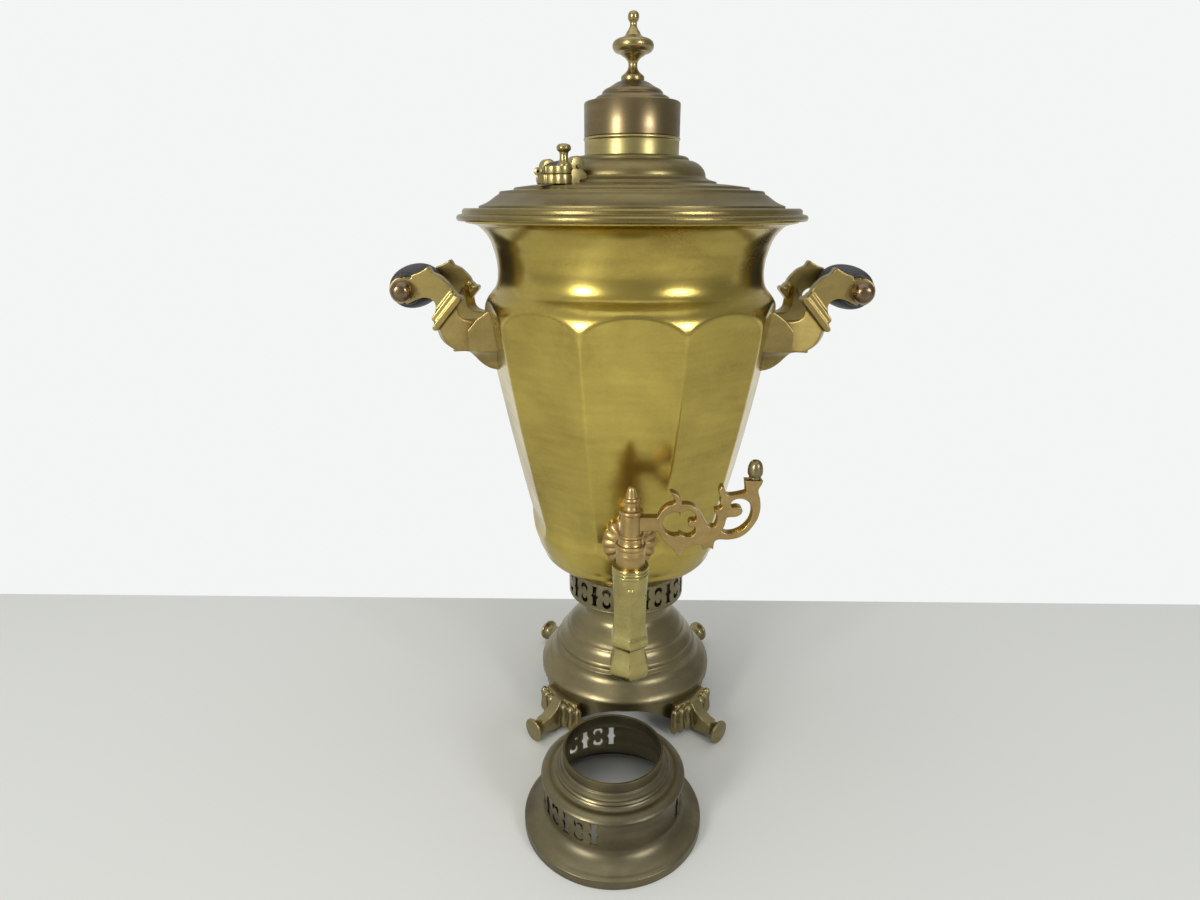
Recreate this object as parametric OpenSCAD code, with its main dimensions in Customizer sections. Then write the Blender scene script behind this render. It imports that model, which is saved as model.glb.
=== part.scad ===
// Samovar: a faceted brass urn heated by a fire tube, with a tap, two carrying handles,
// a lift-off lid and cap, and the loose crown that carries a teapot.
// The origin is on the urn's axis at the table, +Z is up and the tap points along -Y.

/* [Urn] */
// Height of the lip on top of the urn
urn_top_z = 401; // [385:1:420]
// Radius of the urn at the shoulder
shoulder_r = 110.5; // [105:0.5:114]
// Thickness of the urn's sheet
urn_wall = 1.4; // [1:0.1:2]
// Number of flat facets round the urn
facet_count = 10; // [8:1:14]
// Distance from the axis to the middle of a facet at its arched top
facet_top_r = 107.6; // [105:0.1:109]
// Height of a facet's arched top
facet_top_z = 344.5; // [342:0.5:346]
// Height at which the foot of a facet starts to run out
facet_run_out_z = 176; // [170:1:185]
// Radius of the facets' gentle outward bow, seen from the side
facet_bow_r = 2000; // [1500:100:3000]

/* [Fire tube] */
// Outer radius of the fire tube where it leaves the lid
tube_r = 32.7; // [30:0.1:33]
// Outer radius of the fire tube at the grate
tube_foot_r = 41; // [38:0.5:43]
// Thickness of the fire tube
tube_wall = 1.5; // [1.2:0.1:2]
// Height of the fire tube's open end
tube_top_z = 470; // [465:1:474]
// Outer radius of the bright collar on the fire tube
collar_r = 33.7; // [33.4:0.1:34.2]
// Height of the collar's upper edge
collar_top_z = 457; // [452:0.5:459]
// Width of the bars of the grate
bar_w = 4; // [3:0.5:5]

/* [Top ring and lid] */
// Radius of the ring at the mouth of the urn
ring_r = 126; // [122:0.5:132]
// Radius of the lid's edge
lid_r = 110; // [108:0.5:112]
// Height of the ledge that the lid rests on
ledge_z = 409; // [407:0.5:411]
// Radius of the hole for the chimney in the lid
lid_hole_r = 35.2; // [34.9:0.1:36]
// Thickness of the lid's sheet
lid_wall = 1.2; // [0.8:0.1:1.6]

/* [Lid handle] */
// Direction of the lid handle, counted from +X
lid_handle_angle = 212; // [205:1:220]
// Distance from the axis to the lid handle's grip
lid_handle_r = 56; // [55:0.5:58]
// Distance between the two brackets of the lid handle
lid_handle_l = 40; // [34:1:46]
// Radius of the lid handle's wooden grip
lid_grip_r = 4.9; // [4.5:0.1:5.2]

/* [Steam vent] */
// Direction of the vent, counted from +X
vent_angle = 233; // [230:1:238]
// Distance from the axis to the vent
vent_r = 77; // [76:0.5:79]
// Radius of the vent's round plate
vent_plate_r = 6.5; // [6:0.1:7]
// Thickness of each of the vent's plates
vent_plate_t = 5; // [4:0.1:6]
// Distance from the vent's middle to its hinge pin
vent_hinge_l = 15; // [14:0.5:17]
// Radius of the vent's hinge pin
vent_pin_r = 1; // [0.8:0.1:1.2]

/* [Cap] */
// Outer radius of the chimney cap
cap_r = 33.9; // [33.8:0.1:34.4]
// Height of the cap's shoulder
cap_shoulder_z = 479.5; // [477:0.5:483]
// Thickness of the cap's sheet
cap_wall = 1.1; // [0.9:0.05:1.1]
// Radius of the widest part of the cap's finial
finial_r = 14.2; // [12:0.1:16]

/* [Foot] */
// Radius of the pierced band under the urn
band_r = 48.3; // [46:0.1:50]
// Height of the pierced band's upper edge
band_top_z = 124; // [122:0.5:126]
// Height of the pierced band's lower edge
band_bottom_z = 101.5; // [100:0.5:103]
// Number of pairs of pierced motifs round the band
motif_pairs = 14; // [12:1:14]
// Radius of the base's widest ring
base_r = 72.8; // [70:0.2:76]
// Height of the base's lower edge
base_z = 27; // [25:0.5:29]
// Thickness of the base's sheet
base_wall = 1.5; // [1:0.1:2]
// Distance from the axis to the face of a foot's round end
foot_reach = 106; // [102:0.5:112]
// Radius of a foot's round end
foot_disc_r = 9.5; // [8.5:0.1:10.5]

/* [Carrying handles] */
// Distance from the axis to a grip's middle line
grip_x = 161; // [157:0.5:165]
// Height of a grip's middle line
grip_z = 354; // [352:0.5:356]
// Largest radius of a wooden grip
grip_r = 15.8; // [14:0.1:17]
// Distance between the middles of the two horns of a handle
horn_spread = 74; // [68:1:80]
// Thickness of a horn
horn_t = 9; // [7:0.5:10]
// Radius of the rod through a grip
rod_r = 3; // [2.5:0.1:3.5]
// Radius of the knobs on the rods
rod_knob_r = 7.5; // [6:0.1:8]

/* [Tap] */
// Distance from the urn's axis to the tap's plug
tap_y = 120; // [118:0.5:124]
// Height of the tap's level tube
tap_z = 182; // [181:0.5:184]
// Outer radius of the tap's level tube
shank_r = 7; // [6:0.1:7.5]
// Radius of the water way
water_r = 4; // [3:0.1:4.5]
// Radius of the plug where it turns in the barrel
plug_r = 6.2; // [5.8:0.1:6.5]
// Outer radius of the tap's barrel
barrel_r = 9.8; // [9:0.1:10.2]
// Outer radius of the spout's round top
spout_r = 12; // [11.7:0.1:13]
// Height of the spout's upper edge
spout_top_z = 181.8; // [180:0.1:184]
// Height of the spout's mouth
spout_bottom_z = 97; // [92:0.5:102]
// Radius of the ribbed plate behind the tap
rosette_r = 19.5; // [17:0.5:21]
// Thickness of the tap's scrolled key
branch_t = 8; // [6:0.5:9]

/* [Crown] */
// Distance in front of the urn's axis at which the crown stands
crown_y = 150.2; // [148:0.2:154]
// Distance to the left of the urn's axis at which the crown stands
crown_x = 11; // [6:0.5:16]
// Radius of the crown's wide rim
crown_r = 61.7; // [59:0.1:63]
// Height of the crown
crown_h = 57.7; // [56:0.1:60]
// Thickness of the crown's sheet
crown_wall = 1.1; // [0.9:0.1:1.3]

/* [Fits] */
// Gap round pieces that turn or slide in one another
running_gap = 0.05; // [0.03:0.01:0.09]
// Gap between pieces that lie close without a fit
loose_gap = 0.3; // [0.2:0.05:0.4]

/* [Hidden] */
$fn = 96;

// A facet's middle line is an arc in the plane through the axis.
// Its centre lies above and far inside the urn.
bow_centre_z = 640;
function bow_drop(z) = facet_bow_r - sqrt(pow(facet_bow_r, 2) - pow(bow_centre_z - z, 2));
bow_top_r = facet_top_r + bow_drop(facet_top_z);
function facet_r(z) = bow_top_r - bow_drop(z);

// Outline of the urn without its facets, from the lip down to the neck band
urn_outline = [
  [120, urn_top_z], [120, urn_top_z - 1.2], [112, urn_top_z - 3], [108.2, urn_top_z - 6],
  [104.9, urn_top_z - 10], [102.7, urn_top_z - 14], [101.2, urn_top_z - 18.5],
  [99.4, urn_top_z - 25], [98.4, urn_top_z - 32], [98.4, 363], [99, 358.5], [100.6, 354.3],
  [103.4, 350.8], [106.4, 347], [108.6, 342.6], [shoulder_r - 0.6, 338], [shoulder_r, 332],
  [shoulder_r, 322], [109.6, 310], [107.6, 290], [104, 268], [100, 245], [95.6, 220],
  [91, 200], [86.3, 190], [82, 180], [80.2, 175], [78.6, 169.5], [77.1, 164], [75.4, 158],
  [73.6, 152], [72.2, 148], [70.4, 144.4], [69.8, 143.2],
  [68.8, 140], [66.6, 137], [63.8, 134.6], [60.6, 132.9], [58.6, 131.6], [56.4, 131],
  [55.4, 129], [53.2, 127.6], [band_r + 2.6, 126.4], [band_r + 1, band_top_z]];
mouth_r = 103.4;
mouth_z = urn_top_z - 10.2;

function moved(points, dr, dz) = [for (p = points) [p[0] + dr, p[1] + dz]];
function backwards(points) = [for (i = [len(points) - 1:-1:0]) points[i]];
// A sheet of one thickness under an outline that falls outward all the way
function sheet(points, t, hole) =
  concat(points, backwards([for (p = points) [max(p[0] - t, hole), p[1] - t]]));

module revolve(points) {
  rotate_extrude($fn = 180)
    polygon(points);
}

// Cuts one facet on the -Y side: the outside of the bowed facet, with a soft lower end
module facet_cutter(inward) {
  r_low = facet_r(facet_run_out_z) - inward;
  run_out_r = 60;
  reach = 60;
  width = 110;
  rotate([90, 0, -90])
    linear_extrude(height = width, center = true)
      difference() {
        union() {
          translate([r_low - 2, facet_run_out_z + 2])
            square([reach, facet_top_z + 4 - facet_run_out_z]);
          translate([r_low + run_out_r - 0.6, facet_run_out_z])
            circle(r = run_out_r);
        }
        // Turned a little so that a preview's corners fall where the handles seat
        translate([bow_top_r - inward - facet_bow_r, bow_centre_z])
          rotate([0, 0, 0.52])
            circle(r = facet_bow_r, $fn = 1440);
      }
}

// The urn as a solid, drawn inward all round by the given distance
module urn_form(inward) {
  difference() {
    revolve(concat([[0, urn_top_z]], moved(urn_outline, -inward, 0), [[0, band_top_z]]));
    for (i = [0:facet_count - 1])
      rotate([0, 0, i * 360 / facet_count])
        facet_cutter(inward);
  }
}

module body_shell() {
  color([0.72, 0.62, 0.25])
    difference() {
      urn_form(0);
      intersection() {
        urn_form(urn_wall);
        translate([0, 0, band_top_z + urn_wall])
          cylinder(r = 200, h = mouth_z - band_top_z - urn_wall);
      }
      // The mouth
      translate([0, 0, mouth_z - 0.2])
        cylinder(r = mouth_r, h = 30);
      // The fire tube stands in this hole
      translate([0, 0, band_top_z - 5])
        cylinder(r = tube_foot_r + running_gap, h = 20);
      // The tap's level tube goes through the wall
      translate([0, 0, tap_z])
        rotate([90, 0, 0])
          cylinder(r = shank_r + running_gap, h = 110);
    }
}

module top_ring() {
  bead_r = 2.6;
  color([0.66, 0.55, 0.24])
    union() {
      revolve([[104.4, urn_top_z], [ring_r - 1, urn_top_z],
        [ring_r, urn_top_z + 1], [ring_r, urn_top_z + 3], [ring_r - 1.4, urn_top_z + 4.2],
        [ring_r - 4, urn_top_z + 4.8], [ring_r - 5, urn_top_z + 6.6],
        [ring_r - 9, ledge_z], [104.4, ledge_z]]);
      rotate_extrude($fn = 180)
        translate([ring_r - 6.6, ledge_z - 2])
          circle(r = bead_r);
    }
}

tube_taper_z = 300;
tube_outline = [[tube_r, tube_top_z], [tube_r, tube_taper_z], [tube_foot_r, 160],
  [tube_foot_r, band_top_z - 3]];

module fire_tube() {
  grate_ledge = 4;
  color([0.6, 0.5, 0.3])
    revolve(concat(tube_outline,
      [[tube_foot_r - tube_wall - grate_ledge, band_top_z - 3],
        [tube_foot_r - tube_wall - grate_ledge, band_top_z - 1],
        [tube_foot_r - tube_wall, band_top_z - 1], [tube_foot_r - tube_wall, 160],
        [tube_r - tube_wall, tube_taper_z], [tube_r - tube_wall, tube_top_z]]));
}

module chimney_collar() {
  bead = 0.7;
  collar_low_z = 425;
  color([0.8, 0.68, 0.34])
    revolve([[tube_r, collar_low_z], [collar_r, collar_low_z], [collar_r, collar_top_z - 2.4],
      [collar_r + bead, collar_top_z - 1.6], [collar_r + bead, collar_top_z - 0.6],
      [collar_r, collar_top_z], [tube_r, collar_top_z]]);
}

module fire_grate() {
  rim_w = 4;
  thickness = 5;
  outer_r = tube_foot_r - tube_wall - loose_gap;
  bars = 6;
  pitch = 2 * outer_r / (bars + 1);
  color([0.3, 0.28, 0.26])
    translate([0, 0, band_top_z - 1])
      union() {
        difference() {
          cylinder(r = outer_r, h = thickness);
          translate([0, 0, -1])
            cylinder(r = outer_r - rim_w, h = thickness + 2);
        }
        intersection() {
          cylinder(r = outer_r - rim_w / 2, h = thickness);
          for (i = [1:bars])
            translate([-outer_r + i * pitch - bar_w / 2, -outer_r, 0])
              cube([bar_w, 2 * outer_r, thickness]);
        }
      }
}

// Pierced motifs, drawn on the XZ plane round the origin and cut through a wall.
// One is a pair of crescents that face each other, the other a slot with flared ends.
motif_h = 17.4;
module crescent_pair(h) {
  outer = 3.7;
  lift = h / 2 - outer;
  for (s = [-1, 1])
    translate([0, s * lift])
      difference() {
        circle(r = outer, $fn = 32);
        translate([0, -s * 1.9])
          circle(r = 2.2, $fn = 32);
        translate([-outer, -s * (outer + 1.6) - (s < 0 ? 0 : outer)])
          square([2 * outer, outer]);
      }
}

module flared_slot(h) {
  waist = 1.8;
  flare = 3.3;
  polygon([[-flare, h / 2], [-waist, h / 2 - 2], [-waist, 2.4], [-flare - 0.3, 0],
    [-waist, -2.4], [-waist, 2 - h / 2], [-flare, -h / 2],
    [flare, -h / 2], [waist, 2 - h / 2], [waist, -2.4], [flare + 0.3, 0],
    [waist, 2.4], [waist, h / 2 - 2], [flare, h / 2]]);
}

// A motif pushed through the wall at a given direction counted from the front
module motif_cutter(direction, wall_r, height, crescents, h) {
  rotate([0, 0, direction])
    translate([0, -wall_r + 4, height])
      rotate([90, 0, 0])
        linear_extrude(height = 8)
          if (crescents)
            crescent_pair(h);
          else
            flared_slot(h);
}

module neck_band() {
  wall = 1.5;
  first = 5.9;
  pitch = 360 / motif_pairs;
  middle_z = (band_top_z + band_bottom_z) / 2 - 0.4;
  color([0.52, 0.47, 0.3])
    difference() {
      translate([0, 0, band_bottom_z])
        cylinder(r = band_r, h = band_top_z - band_bottom_z, $fn = 180);
      translate([0, 0, band_bottom_z - 1])
        cylinder(r = band_r - wall, h = 40, $fn = 180);
      for (i = [0:motif_pairs - 1]) {
        motif_cutter(first + i * pitch, band_r, middle_z, true, motif_h);
        motif_cutter(first + (i + 0.5) * pitch, band_r, middle_z, false, motif_h);
      }
    }
}

// Outline of the base, drawn in shares of its widest ring and in heights
base_outline = [for (p = [[0.494, band_bottom_z - 2], [0.49, 96], [0.484, 88], [0.49, 83],
  [0.51, 80], [0.547, 77], [0.596, 74], [0.638, 71.4], [0.658, 69.8], [0.668, 68.8],
  [0.68, 67.6], [0.698, 66.4], [0.706, 64.6], [0.728, 62], [0.764, 59.2], [0.786, 57.6],
  [0.794, 56], [0.794, 53.6], [0.81, 52.4], [0.83, 51.6], [0.832, 49.4], [0.838, 47],
  [0.857, 44.4], [0.885, 42.2], [0.915, 40.6], [0.931, 39.6], [0.959, 37.8], [0.986, 35.4],
  [1, 33.2], [1, 31.2], [1, base_z]]) [p[0] * base_r, p[1]]];

module base_bell() {
  // The flat top carries the pierced band
  hole_r = 0.45 * base_r;
  color([0.45, 0.4, 0.27])
    revolve(concat([[hole_r, band_bottom_z], [band_r, band_bottom_z],
      [band_r, band_bottom_z - 2]], base_outline,
      backwards([for (p = moved(base_outline, -base_wall, -base_wall)) [p[0], max(p[1], base_z)]]),
      [[hole_r, band_bottom_z - 2 - base_wall]]));
}

// A skirt under the base, cut away by four arches that leave it standing at the feet
module base_apron() {
  apron_r = base_r - 2;
  wall = 2;
  arch_r = 52;
  arch_drop = 26.6;
  foot_z = 5;
  color([0.45, 0.4, 0.27])
    difference() {
      translate([0, 0, foot_z])
        cylinder(r = apron_r, h = base_z - foot_z + 1, $fn = 180);
      translate([0, 0, foot_z - 1])
        cylinder(r = apron_r - wall, h = 40, $fn = 180);
      for (turn = [0, 90])
        rotate([90, 0, turn])
          translate([0, base_z - 1 - arch_r, -100])
            cylinder(r = arch_r, h = 200);
      translate([0, 0, base_z])
        difference() {
          cylinder(r = 100, h = 10);
          translate([0, 0, -1])
            cylinder(r = apron_r - wall - 1, h = 12);
        }
    }
}

// One foot, drawn along +X and turned to its corner: a leg that ends in a flared round disc,
// with two ribs of a shell on each side of it
module foot(direction) {
  leg_w = 10;
  apron_r = base_r - 2;
  disc_t = 2;
  rib_r = 2.7;
  rib_at_r = base_r + 7.2;
  rib_low_z = 6;
  rib_h = 15;
  shell_z = 4.6;
  color([0.45, 0.4, 0.27])
    rotate([0, 0, direction])
      difference() {
        union() {
          // The leg falls from the base in a hollow curve
          translate([0, leg_w / 2, 0])
            rotate([90, 0, 0])
              linear_extrude(height = leg_w)
                difference() {
                  polygon([[apron_r, base_z], [apron_r + 9, base_z - 0.5],
                    [foot_reach - 13, 15], [foot_reach - 8, 15], [foot_reach - 8, 5],
                    [foot_reach - 20, 2], [apron_r, 2]]);
                  translate([apron_r + 25, 32])
                    circle(r = 16);
                }
          // The flared end stands on the edge of its disc
          translate([0, 0, foot_disc_r])
            rotate([0, 90, 0])
              rotate_extrude()
                polygon([[0, foot_reach - 20], [5.5, foot_reach - 20],
                  [5.5, foot_reach - 9], [6.4, foot_reach - 5], [8, foot_reach - disc_t - 1],
                  [foot_disc_r, foot_reach - disc_t], [foot_disc_r, foot_reach],
                  [0, foot_reach + 0.8]]);
          // The shell that joins the ribs to the leg
          intersection() {
            translate([0, 0, shell_z])
              cylinder(r = rib_at_r - 0.8, h = base_z - shell_z, $fn = 180);
            translate([0, 0, -1])
              linear_extrude(height = 60)
                polygon([[0, 0], [100, -100 * tan(12)], [100, 100 * tan(12)]]);
          }
          for (s = [-1, 1])
            for (k = [1, 2])
              rotate([0, 0, s * (5.6 * k - 0.6)])
                translate([rib_at_r, 0, rib_low_z])
                  union() {
                    sphere(r = rib_r, $fn = 48);
                    cylinder(r = rib_r, h = rib_h, $fn = 48);
                    translate([0, 0, rib_h])
                      sphere(r = rib_r, $fn = 48);
                  }
        }
        // Clear of the apron, and flat where it stands
        translate([0, 0, -10])
          cylinder(r = apron_r, h = 60, $fn = 180);
        translate([0, -60, base_z])
          cube([200, 120, 50]);
        translate([0, -60, -19.7])
          cube([200, 120, 20]);
      }
}

lid_outline = [[lid_hole_r, 444.4], [38.6, 444.4], [40.8, 443.2], [41.2, 441.4], [44.6, 441],
  [48.4, 439], [51.4, 436], [53, 432.6], [53.2, 430.6], [54.6, 429.4], [58, 428.2],
  [61, 427.4], [61.6, 425.8], [72, 425], [84.4, 423.4], [85.2, 421.8], [94.8, 420.8],
  [95.6, 419], [98, 417.6], [101.6, 415], [105, 413], [lid_r, 411], [lid_r, ledge_z + lid_wall]];
lid_top_z = 425;

module lid_cover() {
  skirt_r = mouth_r - 0.8;
  skirt_z = 399.5;
  color([0.5, 0.43, 0.24])
    revolve(concat(
      [for (p = lid_outline) p],
      [[lid_r, ledge_z], [skirt_r, ledge_z], [skirt_r, skirt_z], [skirt_r - lid_wall, skirt_z],
        [skirt_r - lid_wall, ledge_z + 1.4]],
      backwards([for (p = lid_outline) if (p[0] < skirt_r - 0.6)
        [max(p[0] - lid_wall, lid_hole_r), p[1] - lid_wall]])));
}

// Places its children at the middle of the lid handle, with Y along its grip
module at_lid_handle() {
  rotate([0, 0, lid_handle_angle])
    translate([lid_handle_r + 1.6, 0, 0])
      children();
}

lid_bracket_t = 7;
lid_grip_z = 435.6;
lid_rod_r = 1.4;
// Two lobed brackets, drawn flat and stood up across the grip
module lid_brackets() {
  lobe_r = 5.2;
  foot_lobe_r = 4.2;
  foot_lobe_x = 2.6;
  foot_lobe_z = 430;
  color([0.8, 0.7, 0.35])
    difference() {
      at_lid_handle()
        for (side = [-1, 1])
          translate([0, side * lid_handle_l / 2 + lid_bracket_t / 2, 0])
            rotate([90, 0, 0])
              linear_extrude(height = lid_bracket_t)
                difference() {
                  union() {
                    translate([0, lid_grip_z + 1.4])
                      circle(r = lobe_r);
                    for (s = [-1, 1])
                      translate([s * foot_lobe_x, foot_lobe_z])
                        circle(r = foot_lobe_r);
                    translate([0, foot_lobe_z - 3])
                      square([2 * foot_lobe_x + 2, 8], center = true);
                  }
                  translate([0, lid_grip_z])
                    circle(r = lid_rod_r + running_gap);
                }
      revolve(concat([[0, 440]], lid_outline, [[lid_r, 400], [0, 400]]));
    }
}

module lid_grip() {
  half = lid_handle_l / 2 - lid_bracket_t / 2;
  color([0.06, 0.05, 0.05])
    at_lid_handle()
      translate([0, 0, lid_grip_z])
        rotate([90, 0, 0])
          difference() {
            rotate_extrude()
              polygon([[0, -half], [3.4, -half], [4, -half + 3], [lid_grip_r, -4],
                [lid_grip_r, 4], [4, half - 3], [3.4, half], [0, half]]);
            translate([0, 0, -half - 1])
              cylinder(r = lid_rod_r + running_gap, h = 2 * half + 2);
          }
}

module lid_rod() {
  over = 1.2;
  half = lid_handle_l / 2 + lid_bracket_t / 2 + over;
  color([0.5, 0.43, 0.3])
    at_lid_handle()
      translate([0, 0, lid_grip_z])
        rotate([90, 0, 0])
          cylinder(r = lid_rod_r, h = 2 * half, center = true);
}

// The vent lies with its hinge towards -X
vent_at = [vent_r * cos(vent_angle), vent_r * sin(vent_angle)];
vent_z = lid_top_z - 0.7;
vent_split_z = vent_z + vent_plate_t + 1;
vent_pin_z = vent_split_z + 1.6;
vent_knuckle_w = 4;
vent_knuckle_r = 2.6;

// Outline shared by the vent's two plates
module vent_plan(shorter) {
  circle(r = vent_plate_r);
  translate([-vent_hinge_l + shorter, -vent_plate_r + 2.4])
    square([vent_hinge_l - shorter, 2 * vent_plate_r - 4.8]);
}

module vent_base() {
  ear_w = (2 * vent_plate_r - 4.8 - vent_knuckle_w) / 2;
  color([0.72, 0.66, 0.36])
    translate([vent_at[0], vent_at[1], 0])
      difference() {
        union() {
          translate([0, 0, vent_z])
            linear_extrude(height = vent_split_z - vent_z)
              vent_plan(-vent_knuckle_r + 0.6);
          for (s = [-1, 1])
            translate([-vent_hinge_l, s * (vent_knuckle_w + ear_w) / 2, vent_pin_z])
              rotate([90, 0, 0])
                cylinder(r = vent_knuckle_r, h = ear_w - 2 * 0.1, center = true);
        }
        // Steam way
        translate([0, 0, vent_z - 5])
          cylinder(r = 2.5, h = 20);
        // Room for the flap's knuckle, and the pin's hole
        translate([-vent_hinge_l, 0, vent_pin_z])
          rotate([90, 0, 0])
            cylinder(r = vent_knuckle_r + loose_gap, h = vent_knuckle_w + 0.2, center = true);
        translate([-vent_hinge_l, 0, vent_pin_z])
          rotate([90, 0, 0])
            cylinder(r = vent_pin_r, h = 20, center = true);
        translate([-vent_at[0], -vent_at[1], 0])
          revolve(concat([[0, 440]], lid_outline, [[lid_r, 400], [0, 400]]));
      }
}

module vent_pin() {
  color([0.6, 0.5, 0.3])
    translate([vent_at[0] - vent_hinge_l, vent_at[1], vent_pin_z])
      rotate([90, 0, 0])
        cylinder(r = vent_pin_r, h = 2 * vent_plate_r - 4.8, center = true);
}

module vent_flap() {
  color([0.72, 0.66, 0.36])
    translate([vent_at[0], vent_at[1], 0])
      difference() {
        union() {
          translate([0, 0, vent_split_z + 0.1])
            linear_extrude(height = vent_plate_t)
              vent_plan(vent_knuckle_r + loose_gap + 1);
          translate([-vent_hinge_l, -vent_knuckle_w / 2, vent_split_z + loose_gap])
            cube([6, vent_knuckle_w, 2.6]);
          translate([-vent_hinge_l, 0, vent_pin_z])
            rotate([90, 0, 0])
              cylinder(r = vent_knuckle_r, h = vent_knuckle_w, center = true);
        }
        translate([-vent_hinge_l, 0, vent_pin_z])
          rotate([90, 0, 0])
            cylinder(r = vent_pin_r + running_gap, h = 20, center = true);
      }
}

module vent_knob() {
  foot_z = vent_split_z + 0.1 + vent_plate_t;
  color([0.55, 0.5, 0.28])
    translate([vent_at[0] + 1.5, vent_at[1], 0])
      revolve([[0, foot_z], [4.6, foot_z], [4.4, foot_z + 1], [2.9, foot_z + 3.6],
        [2.7, foot_z + 6], [3, foot_z + 8.4], [4.4, foot_z + 9.4], [4.7, foot_z + 10.6],
        [4.2, foot_z + 12], [2.6, foot_z + 13], [0, foot_z + 13.4]]);
}

cap_foot_z = collar_top_z;
module cap_shell() {
  cap_bore = tube_r + running_gap;
  dome = [[2, 493.6], [8, 493.6], [11.4, 492.4], [14.4, 490.6], [16.8, 489.2], [19.4, 488],
    [21.2, 486.2], [21.6, 484.6], [24.8, 483.4], [26.2, 482.2], [27, cap_shoulder_z + 1.2],
    [31, cap_shoulder_z + 0.8], [cap_r - 0.6, cap_shoulder_z + 0.3], [cap_r, cap_shoulder_z - 0.6]];
  color([0.5, 0.4, 0.25])
    revolve(concat(dome, [[cap_r, cap_foot_z + 0.1], [cap_bore, cap_foot_z + 0.1],
      [cap_bore, cap_shoulder_z - 3]],
      backwards([for (p = dome) if (p[0] < 31.5) [max(p[0] - cap_wall, 2), p[1] - cap_wall * 1.4]])));
}

module cap_finial() {
  seat_z = 493.6;
  color([0.58, 0.47, 0.25])
    revolve([[0, seat_z - 6], [1.95, seat_z - 6], [1.95, seat_z], [8, seat_z], [8, 496.6],
      [5.6, 498.4], [3.8, 500.6], [3.1, 503], [3.4, 505.4], [5.4, 508], [8.2, 509.8],
      [8.8, 510.8], [12, 511.5], [finial_r - 0.4, 513.4], [finial_r, 515.5],
      [finial_r - 0.6, 517.6], [11.5, 519.2], [8.5, 520.2], [6, 521.5], [4.4, 524], [2.6, 527],
      [2.4, 529.6], [3.2, 530.6], [3.7, 532], [3.8, 533.6], [3.4, 535.2], [2.2, 536.4],
      [0, 537]]);
}

crown_bore_r = tube_r + 0.3;
crown_collar_r = crown_bore_r + 1.7;
module crown_shell() {
  outline = [[crown_collar_r, crown_h], [crown_collar_r, 50.4], [crown_collar_r + 1, 49.8],
    [crown_collar_r + 1.2, 48.6], [crown_collar_r + 1.7, 47.4], [37.2, 46.8], [38.6, 46.6],
    [39.6, 45.4], [39.6, 44.4], [40.2, 43.4], [42, 42.6], [45, 42.4], [48, 41.2], [49.6, 39.6],
    [49.6, 38.2], [48.2, 37], [48, 17.4], [48.8, 14.6], [50.8, 12], [54, 9.6], [58, 7.6],
    [60, 7.1], [crown_r, 6.6], [crown_r, 0]];
  inner = [[crown_r - crown_wall, 0], [crown_r - crown_wall, 5.6], [58, 6.3], [53.4, 8.5],
    [49.8, 11.1], [47.8, 14.2], [46.8, 17.4], [46.8, 37], [48, 38.9], [46.8, 40],
    [44.4, 41.2], [41.4, 41.4], [39, 42.4], [38, 44], [36.6, 45.4], [34.6, 46.6],
    [crown_bore_r, 49.4], [crown_bore_r, crown_h]];
  // Three groups: middle direction, whether it starts with crescents, first and last motif
  motifs = [[-154, 1, -2, 2], [-52, 0, -2, 3], [88, 1, -2, 2]];
  step = 12.4;
  color([0.5, 0.44, 0.3])
    translate([-crown_x, -crown_y, 0])
      difference() {
        revolve(concat(outline, inner));
        for (group = motifs)
          for (k = [group[2]:group[3]])
            motif_cutter(group[0] + k * step, 48, 28.4, (k + 2) % 2 == group[1], 16.6);
      }
}

// Everything of a carrying handle is drawn for the right side
module on_side(side) {
  if (side > 0)
    children();
  else
    mirror([1, 0, 0])
      children();
}

horn_y = horn_spread / 2;
saddle_half_w = 32;
// Outer side of the handle's plate, on which the horns end
saddle_top = [[96, grip_z - 16], [103, grip_z - 15.6], [108, grip_z - 18.6],
  [113, grip_z - 22.5], [130.5, grip_z - 44]];

module saddle(side) {
  lobe_r = 24;
  color([0.7, 0.6, 0.32])
    on_side(side)
      difference() {
        translate([0, saddle_half_w, 0])
          rotate([90, 0, 0])
            linear_extrude(height = 2 * saddle_half_w)
              polygon(concat(saddle_top, [[129.6, grip_z - 45.6], [126, grip_z - 44.8],
                [122, grip_z - 44.2], [119, grip_z - 45.2], [116.6, grip_z - 50],
                [113, grip_z - 55.5], [108.6, grip_z - 59.4], [104, grip_z - 61.4],
                [94, grip_z - 63]]));
        // The plate narrows to a rounded shield below
        for (s = [-1, 1])
          translate([60, s * (saddle_half_w + 5), grip_z - 68])
            rotate([0, 90, 0])
              cylinder(r = lobe_r, h = 80);
        urn_form(0);
      }
}

// A flat slab of a horn, drawn from the middle of the grip, across the given distance
module horn_slab(end, thickness, points) {
  translate([grip_x, end * horn_y + thickness / 2, grip_z])
    rotate([90, 0, 0])
      linear_extrude(height = thickness)
        polygon(points);
}

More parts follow.
